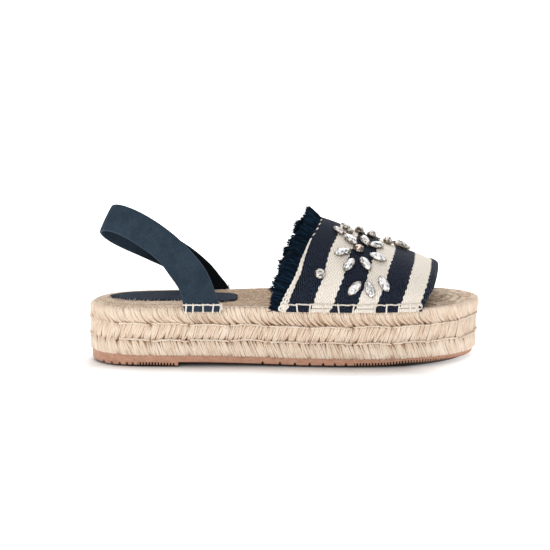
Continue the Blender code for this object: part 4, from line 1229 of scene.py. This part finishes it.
def make_seam_chain():
    """The chain stitch along the cloth's back edge, whose loops close to dashes towards the ridge, and
    the thread along the rim between the strap and the vamp."""
    rng = np.random.default_rng(47)
    girths = np.linspace(-1.9, 1.9, 1200)
    walked = walk(vamp_point(0.0, girths))
    _, _, length = cloth_coordinates(np.zeros(1200), girths)
    points, forwards, _, outwards = vamp_frame(seam(girths, 2) / length, girths)

    def at(s, sideways, proud):
        """Points at distances along the seam, moved across it and out."""
        point, forward, out = (resample(rows, walked, s) for rows in (points, forwards, outwards))
        return point + forward * sideways[:, None] + out * proud[:, None]

    v = np.linspace(0, 1, 12)
    paths, facing, radii = [], [], []
    for number in range(int(walked[-1] / CHAIN_PITCH)):
        start = number * CHAIN_PITCH + rng.normal(0, 0.1)
        half = float(np.interp(start, walked, seam(girths, 3)))
        climb = 1 - abs(float(np.interp(start, walked, girths)))
        dash = half < DASH_HALF
        if climb > CHAIN_END or dash and number % 2:
            continue
        for sign in (-1, 0, 1) if half > 1.0 else (-1, 1)[dash:]:
            sideways = sign * (half - 0.4) * np.sin(math.pi * np.clip(v * 0.92 + 0.04, 0, 1)) ** 0.6
            if dash:
                sideways = sideways * 0.3 + (v - 0.5) * 0.5
            s = start + v * CHAIN_PITCH * (0.8 if dash else 1.15)
            paths.append(at(s, sideways + rng.normal(0, 0.06), 0.25 + 0.3 * np.sin(math.pi * v)))
            facing.append(resample(outwards, walked, [start]))
            radii.append([0.36 if dash else 0.34 + 0.15 * half])
    width = np.array(radii)
    tone = rng.uniform(0.3, 1.0, len(paths))
    chain = tubes(np.array(paths), np.array(facing), width, width * 0.8, 7, tone)
    x = np.linspace(-41.0, -9.0, 60)
    s = np.linspace(0, AROUND / 2, 2000)
    inset = 1.0 + 0.2 * np.sin(x * 0.8)
    rim = at_height(np.interp(x, ring_x(s), s), inset, insole_height(x, inset) + 0.12)
    rim_thread = tubes(rim[None], np.array([0, -0.7, 0.7]), 0.17, 0.17, 6, [0.2])
    add_piece("seam_chain", join([chain, rim_thread]), THREAD)


# ------------------------------------------------------------------ stones
FIRST_MARQUISE = 12  # the stone nearest the ridge: smaller, and set a little lower than its seat
FIRST_MARQUISE_SIZE, FIRST_MARQUISE_SHIFT = 0.8, (1.0, -1.6)  # share, along and across in millimetres
MEDIAL_LIFT, RIDGE_LIFT = 0.55, 1.22  # shares of the stones' height on the side that turns away and on the ridge
GEM_LEVELS = ((0.88, 0.9), (1.0, 1.5), (0.78, 2.7), (0.44, 3.4))  # scale, height: pavilion, girdle, crown, table
GEM_CORNERS = {"marquise": 10, "round": 9, "bead": 7}
CUP_LEVELS = ((0.86, 0.0), (0.98, 0.5), (1.05, 1.25), (1.0, 1.45), (0.97, 1.25), (0.9, 0.6))
CUP_CORNERS = 28
CLAW_PATH = ((0.1, 0.15), (0.9, 0.3), (1.6, 0.22), (2.0, -0.25), (2.1, -0.6))  # height, how far out
CLAW_TURNS = {"marquise": (0.0, 0.19, 0.31, 0.5, 0.69, 0.81), "round": (0.12, 0.37, 0.62, 0.87)}


def gem_outline(kind, count, shift=0.0):
    """The stone's outline seen from above, the long way along x."""
    turn = (np.arange(count) + shift) / count * TURN
    along, across = np.cos(turn), np.sin(turn)
    if kind == "marquise":
        along = np.sign(along) * np.abs(along) ** 0.9
        across = np.sign(across) * np.sin(np.abs(turn) % math.pi) ** 1.25
    return np.c_[along, across] * np.array(STONE_SIZES[kind]) / 2


def gem_mesh(kind, rng):
    """Flat facets of one stone, each a separate triangle, with a tone for each: painted reflections from white to
    dark.
    """
    count = GEM_CORNERS[kind]
    height = 0.8 if kind == "bead" else 1.0
    rings = [
        np.c_[gem_outline(kind, count, 0.5 * (number % 2 == 0)) * scale, np.full(count, z * height)]
        for number, (scale, z) in enumerate(GEM_LEVELS)
    ]
    triangles = []
    for level, (low, high) in enumerate(zip(rings[:-1], rings[1:])):
        for k in range(count):
            after = (k + 1) % count
            if level == 1:
                triangles += [(low[k], low[after], high[k]), (high[k], low[after], high[after])]
            else:
                triangles += [(low[k], high[after], high[k]), (low[k], low[after], high[after])]
    middle = rings[3].mean(0) + (0, 0, 0.05)
    triangles += [(rings[3][k], rings[3][(k + 1) % count], middle) for k in range(count)]
    triangles = np.array(triangles)
    normal = np.cross(triangles[:, 1] - triangles[:, 0], triangles[:, 2] - triangles[:, 0])
    middle = triangles.mean(1)
    inward = (normal * np.c_[middle[:, :2], np.full(len(middle), 2.0)]).sum(1) < 0
    triangles[inward] = triangles[inward][:, ::-1]
    # painted reflections: most facets white or pale grey, some mid grey or dark; the table gets one tone
    tone = rng.choice([0.97, 0.72, 0.42, 0.12], len(triangles), p=[0.42, 0.28, 0.17, 0.13])
    tone = tone + rng.normal(0, 0.05, len(triangles))
    tone[-count:] = rng.choice([0.95, 0.75, 0.5]) + rng.normal(0, 0.05, count)
    return triangles, tone


def cup_mesh(kind):
    """The metal setting: a thin wall round the stone with small claws over its edge."""
    rings = [
        np.c_[gem_outline(kind, CUP_CORNERS) * scale, np.full(CUP_CORNERS, z)] for scale, z in CUP_LEVELS
    ]
    wall = grid_faces(len(rings), CUP_CORNERS, close_rows=True, close_columns=True)
    parts = [(np.vstack(rings), [wall], np.zeros((len(rings) * CUP_CORNERS, 3)))]
    for turn in CLAW_TURNS.get(kind, CLAW_TURNS["round"]):
        place = gem_outline(kind, 100)[int(turn * 100)]
        away = np.r_[unit(place * (1, 2.2 if kind == "marquise" else 1)), 0]
        curve, share = smooth_curve([np.r_[place, z] + away * out for z, out in CLAW_PATH], samples=60)
        line = resample(curve, share, np.linspace(0, 1, 7))
        parts.append(tubes(line[None], away + (0, 0, 0.3), 0.3, 0.26, 6, [0.5]))
    return join(parts)


def crystal_material():
    """Cut glass, clear, smoky or gold, with painted reflections: each facet's tone and the flashes inside."""
    shader = Shader("cut_crystal", 0.06, Specular_IOR_Level=0.7, Coat_Weight=0.6, Coat_Roughness=0.04)
    tone, family, _ = shader.detail()
    # painted flashes inside the stone
    painted_flashes = shader.add("TexVoronoi", None, "Color", Vector=shader.place(), Scale=0.95)
    level = painted_flashes.parts()[0] * 0.36 + tone - 0.16
    colour = level.ramp(
        (0.0, (66, 64, 66)), (0.3, (130, 128, 129)), (0.62, (182, 180, 180)), (0.9, (246, 245, 244))
    )
    smoky = level.ramp((0.0, (30, 24, 22)), (0.3, (88, 78, 73)), (0.6, (158, 147, 139)), (0.95, (238, 233, 228)))
    gold = level.ramp((0.2, (14, 10, 9)), (0.55, (52, 37, 31)), (0.85, (132, 101, 84)), (1.1, (255, 232, 212)))
    colour = shader.mix(family.range(CLEAR, SMOKY, 0.0, 1.0), colour, smoky)
    colour = shader.mix(family.range(SMOKY, GOLD, 0.0, 1.0), colour, gold)
    spots = shader.noise(shader.place(), 1.2)
    return shader.finish(colour, spots, 0.03, Roughness=spots.range(0.3, 0.7, 0.04, 0.14))


def claw_material():
    """Worn pale gold metal."""
    shader = Shader("claw_gold", 0.3, Metallic=1.0)
    wear = shader.noise(shader.place(), 0.9, 4, 0.6)
    colour = wear.ramp((0.3, (98, 86, 72)), (0.5, (150, 138, 122)), (0.7, (212, 204, 191)))
    return shader.finish(colour, wear, 0.06, Roughness=wear.range(0.3, 0.7, 0.2, 0.42))


def make_stones():
    """Every stone and its setting, where the solids stand."""
    rng = np.random.default_rng(59)
    gems, cups = [], []
    for side, chart in ((-1, STONES_EACH_SIDE), (1, STONES_EACH_SIDE), (-1, STONES_ON_RIDGE)):
        for number, (kind, family, along, percent, turn) in enumerate(chart):
            place = vamp_frame(along / FOOT_LENGTH, side * (1 - percent / 100))
            point, forwards, around, outwards = (v.reshape(3) for v in place)
            up = -side * around
            length = up * math.cos(math.radians(turn)) + forwards * math.sin(math.radians(turn))
            rise = MEDIAL_LIFT if side > 0 else RIDGE_LIFT if chart is STONES_ON_RIDGE or kind == "bead" else 1.0
            axes = np.stack([length, np.cross(outwards, length), outwards * rise])
            seat = point + outwards * STONE_SEAT
            if number == FIRST_MARQUISE:
                axes = axes * FIRST_MARQUISE_SIZE
                seat = seat + forwards * FIRST_MARQUISE_SHIFT[0] + up * FIRST_MARQUISE_SHIFT[1]
            triangles, tone = gem_mesh(kind, rng)
            values = np.c_[tone, np.full(len(tone), family), np.full(len(tone), rng.uniform())]
            corners = triangles.reshape(-1, 3) @ axes + seat
            gems.append((corners, [np.arange(len(corners)).reshape(-1, 3)], np.repeat(values, 3, axis=0)))
            points, faces, nothing = cup_mesh(kind)
            cups.append((points @ axes + seat, faces, nothing))
    stones = [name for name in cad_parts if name.startswith("stone_")]
    add_piece("stones_crystal", join(gems), crystal_material(), stones, smooth=False)
    add_piece("stone_claws", join(cups), claw_material())


# ------------------------------------------------------------------ floor, light and camera
FLOOR_HALF = 3500.0
CURVE_START, CURVE_RADIUS = 900, 900  # of the backdrop, behind the sandal
AREA_LIGHTS = (("key", (-0.5, -1.5, 0.9), (0, 0, 0.03), 12), ("top", (0.0, 0.5, 1.4), (0, 0, 0.0), 10))
AZIMUTH, ELEVATION, DISTANCE = math.radians(-3.3), math.radians(9.2), 1.5  # of the camera, in metres
LENS = 2.322 / 0.550  # in sensor widths


def paper_material():
    """White paper: a painted warm shade round the sole, and a painted glow that grows away from the sole, under the
    toe and far behind.
    """
    shader = Shader("white_paper", 0.95, Specular_IOR_Level=0.0)
    grain = shader.noise(shader.place(), 0.05)
    forward, sideways, _ = shader.place().parts()
    half = forward.range(-110.0, 40.0, 23.0, 50.0) - forward.range(85.0, 125.0, 0.0, 30.0)
    past_side, past_end = (abs(sideways) - half).larger(0.0), (abs(forward) - 122.0).larger(0.0)
    away = (past_end**2.0 + past_side**2.0) ** 0.5
    # painted light: the paper glows more the further it lies from the sole, under the toe and far behind
    painted_glow = away.range(0.0, 42.0, 0.0, 0.6).larger(forward.range(72.0, 116.0, 0.0, 0.6))
    painted_glow = painted_glow.larger(sideways.range(250.0, 900.0, 0.0, 1.0))
    colour = grain.ramp((0.3, (246, 246, 246)), (0.7, (250, 250, 250)))
    # painted shade: a warmer, slightly darker tint round the sole
    colour = shader.mix(away.range(0.0, 18.0, 0.6, 0.0), colour, linear((248, 243, 239)))
    shader.set(shader.principled, Base_Color=colour, Emission_Color=(1, 1, 1, 1), Emission_Strength=painted_glow)
    return shader.material


def make_stage():
    """A white floor that curves up far behind."""
    turn = np.radians(np.linspace(0, 90, 25))
    behind = np.r_[-3000.0, -1000, 0, 600, CURVE_START + CURVE_RADIUS * np.sin(turn), CURVE_START + CURVE_RADIUS]
    height = np.r_[0, 0, 0, 0, CURVE_RADIUS * (1 - np.cos(turn)), 3000]
    points = [(x, y, z) for y, z in zip(behind, height) for x in (-FLOOR_HALF, FLOOR_HALF)]
    faces = [grid_faces(len(behind), 2)[:, ::-1]]
    add_object("backdrop", points, faces, np.zeros((len(points), 3)), paper_material())


def place_object(name, data, place, towards):
    """A light or camera, and the way it looks."""
    thing = bpy.data.objects.new(name, data)
    thing.location = place
    thing.rotation_mode = "QUATERNION"
    thing.rotation_quaternion = towards.to_track_quat("-Z", "Y")
    bpy.context.collection.objects.link(thing)
    return thing


def make_light():
    """A soft room, brightest in front, with a large soft light over the camera and a smaller top one."""
    world = bpy.data.worlds.new("room")
    bpy.context.scene.world = world
    world.use_nodes = True
    background = world.node_tree.nodes["Background"]
    background.inputs["Color"].default_value = (1, 1, 1, 1)
    background.inputs["Strength"].default_value = 0.42
    for name, place, target, power in AREA_LIGHTS:  # places in metres
        data = bpy.data.lights.new(name, "AREA")
        data.shape, data.size, data.energy = "SQUARE", 1.2, power
        place_object(name, data, place, Vector(target) - Vector(place))
    bpy.context.scene.view_settings.view_transform = "Standard"
    bpy.context.scene.view_settings.look = "None"


def make_camera():
    """A long lens from the lateral side, a little above the sole and a little from the heel."""
    flat = math.cos(ELEVATION)
    back = Vector((math.sin(AZIMUTH) * flat, -math.cos(AZIMUTH) * flat, math.sin(ELEVATION)))
    right = Vector((math.cos(AZIMUTH), math.sin(AZIMUTH), 0))
    target = Vector((0, 0, 0.035)) - right * 0.00672 + back.cross(right) * 0.01822
    data = bpy.data.cameras.new("camera")
    data.sensor_width = 36
    data.lens = data.sensor_width * LENS
    data.clip_start, data.clip_end = 0.05, 50
    bpy.context.scene.camera = place_object("camera", data, target + back * DISTANCE, -back)


make_rows()
make_cords()
make_fuzz()
make_insole()
make_outsole()
make_sock()
make_strap()
VAMP_CLOTH = make_vamp()
make_fringe()
make_blanket_stitches()
make_seam_chain()
make_stones()
make_stage()
make_light()
make_camera()
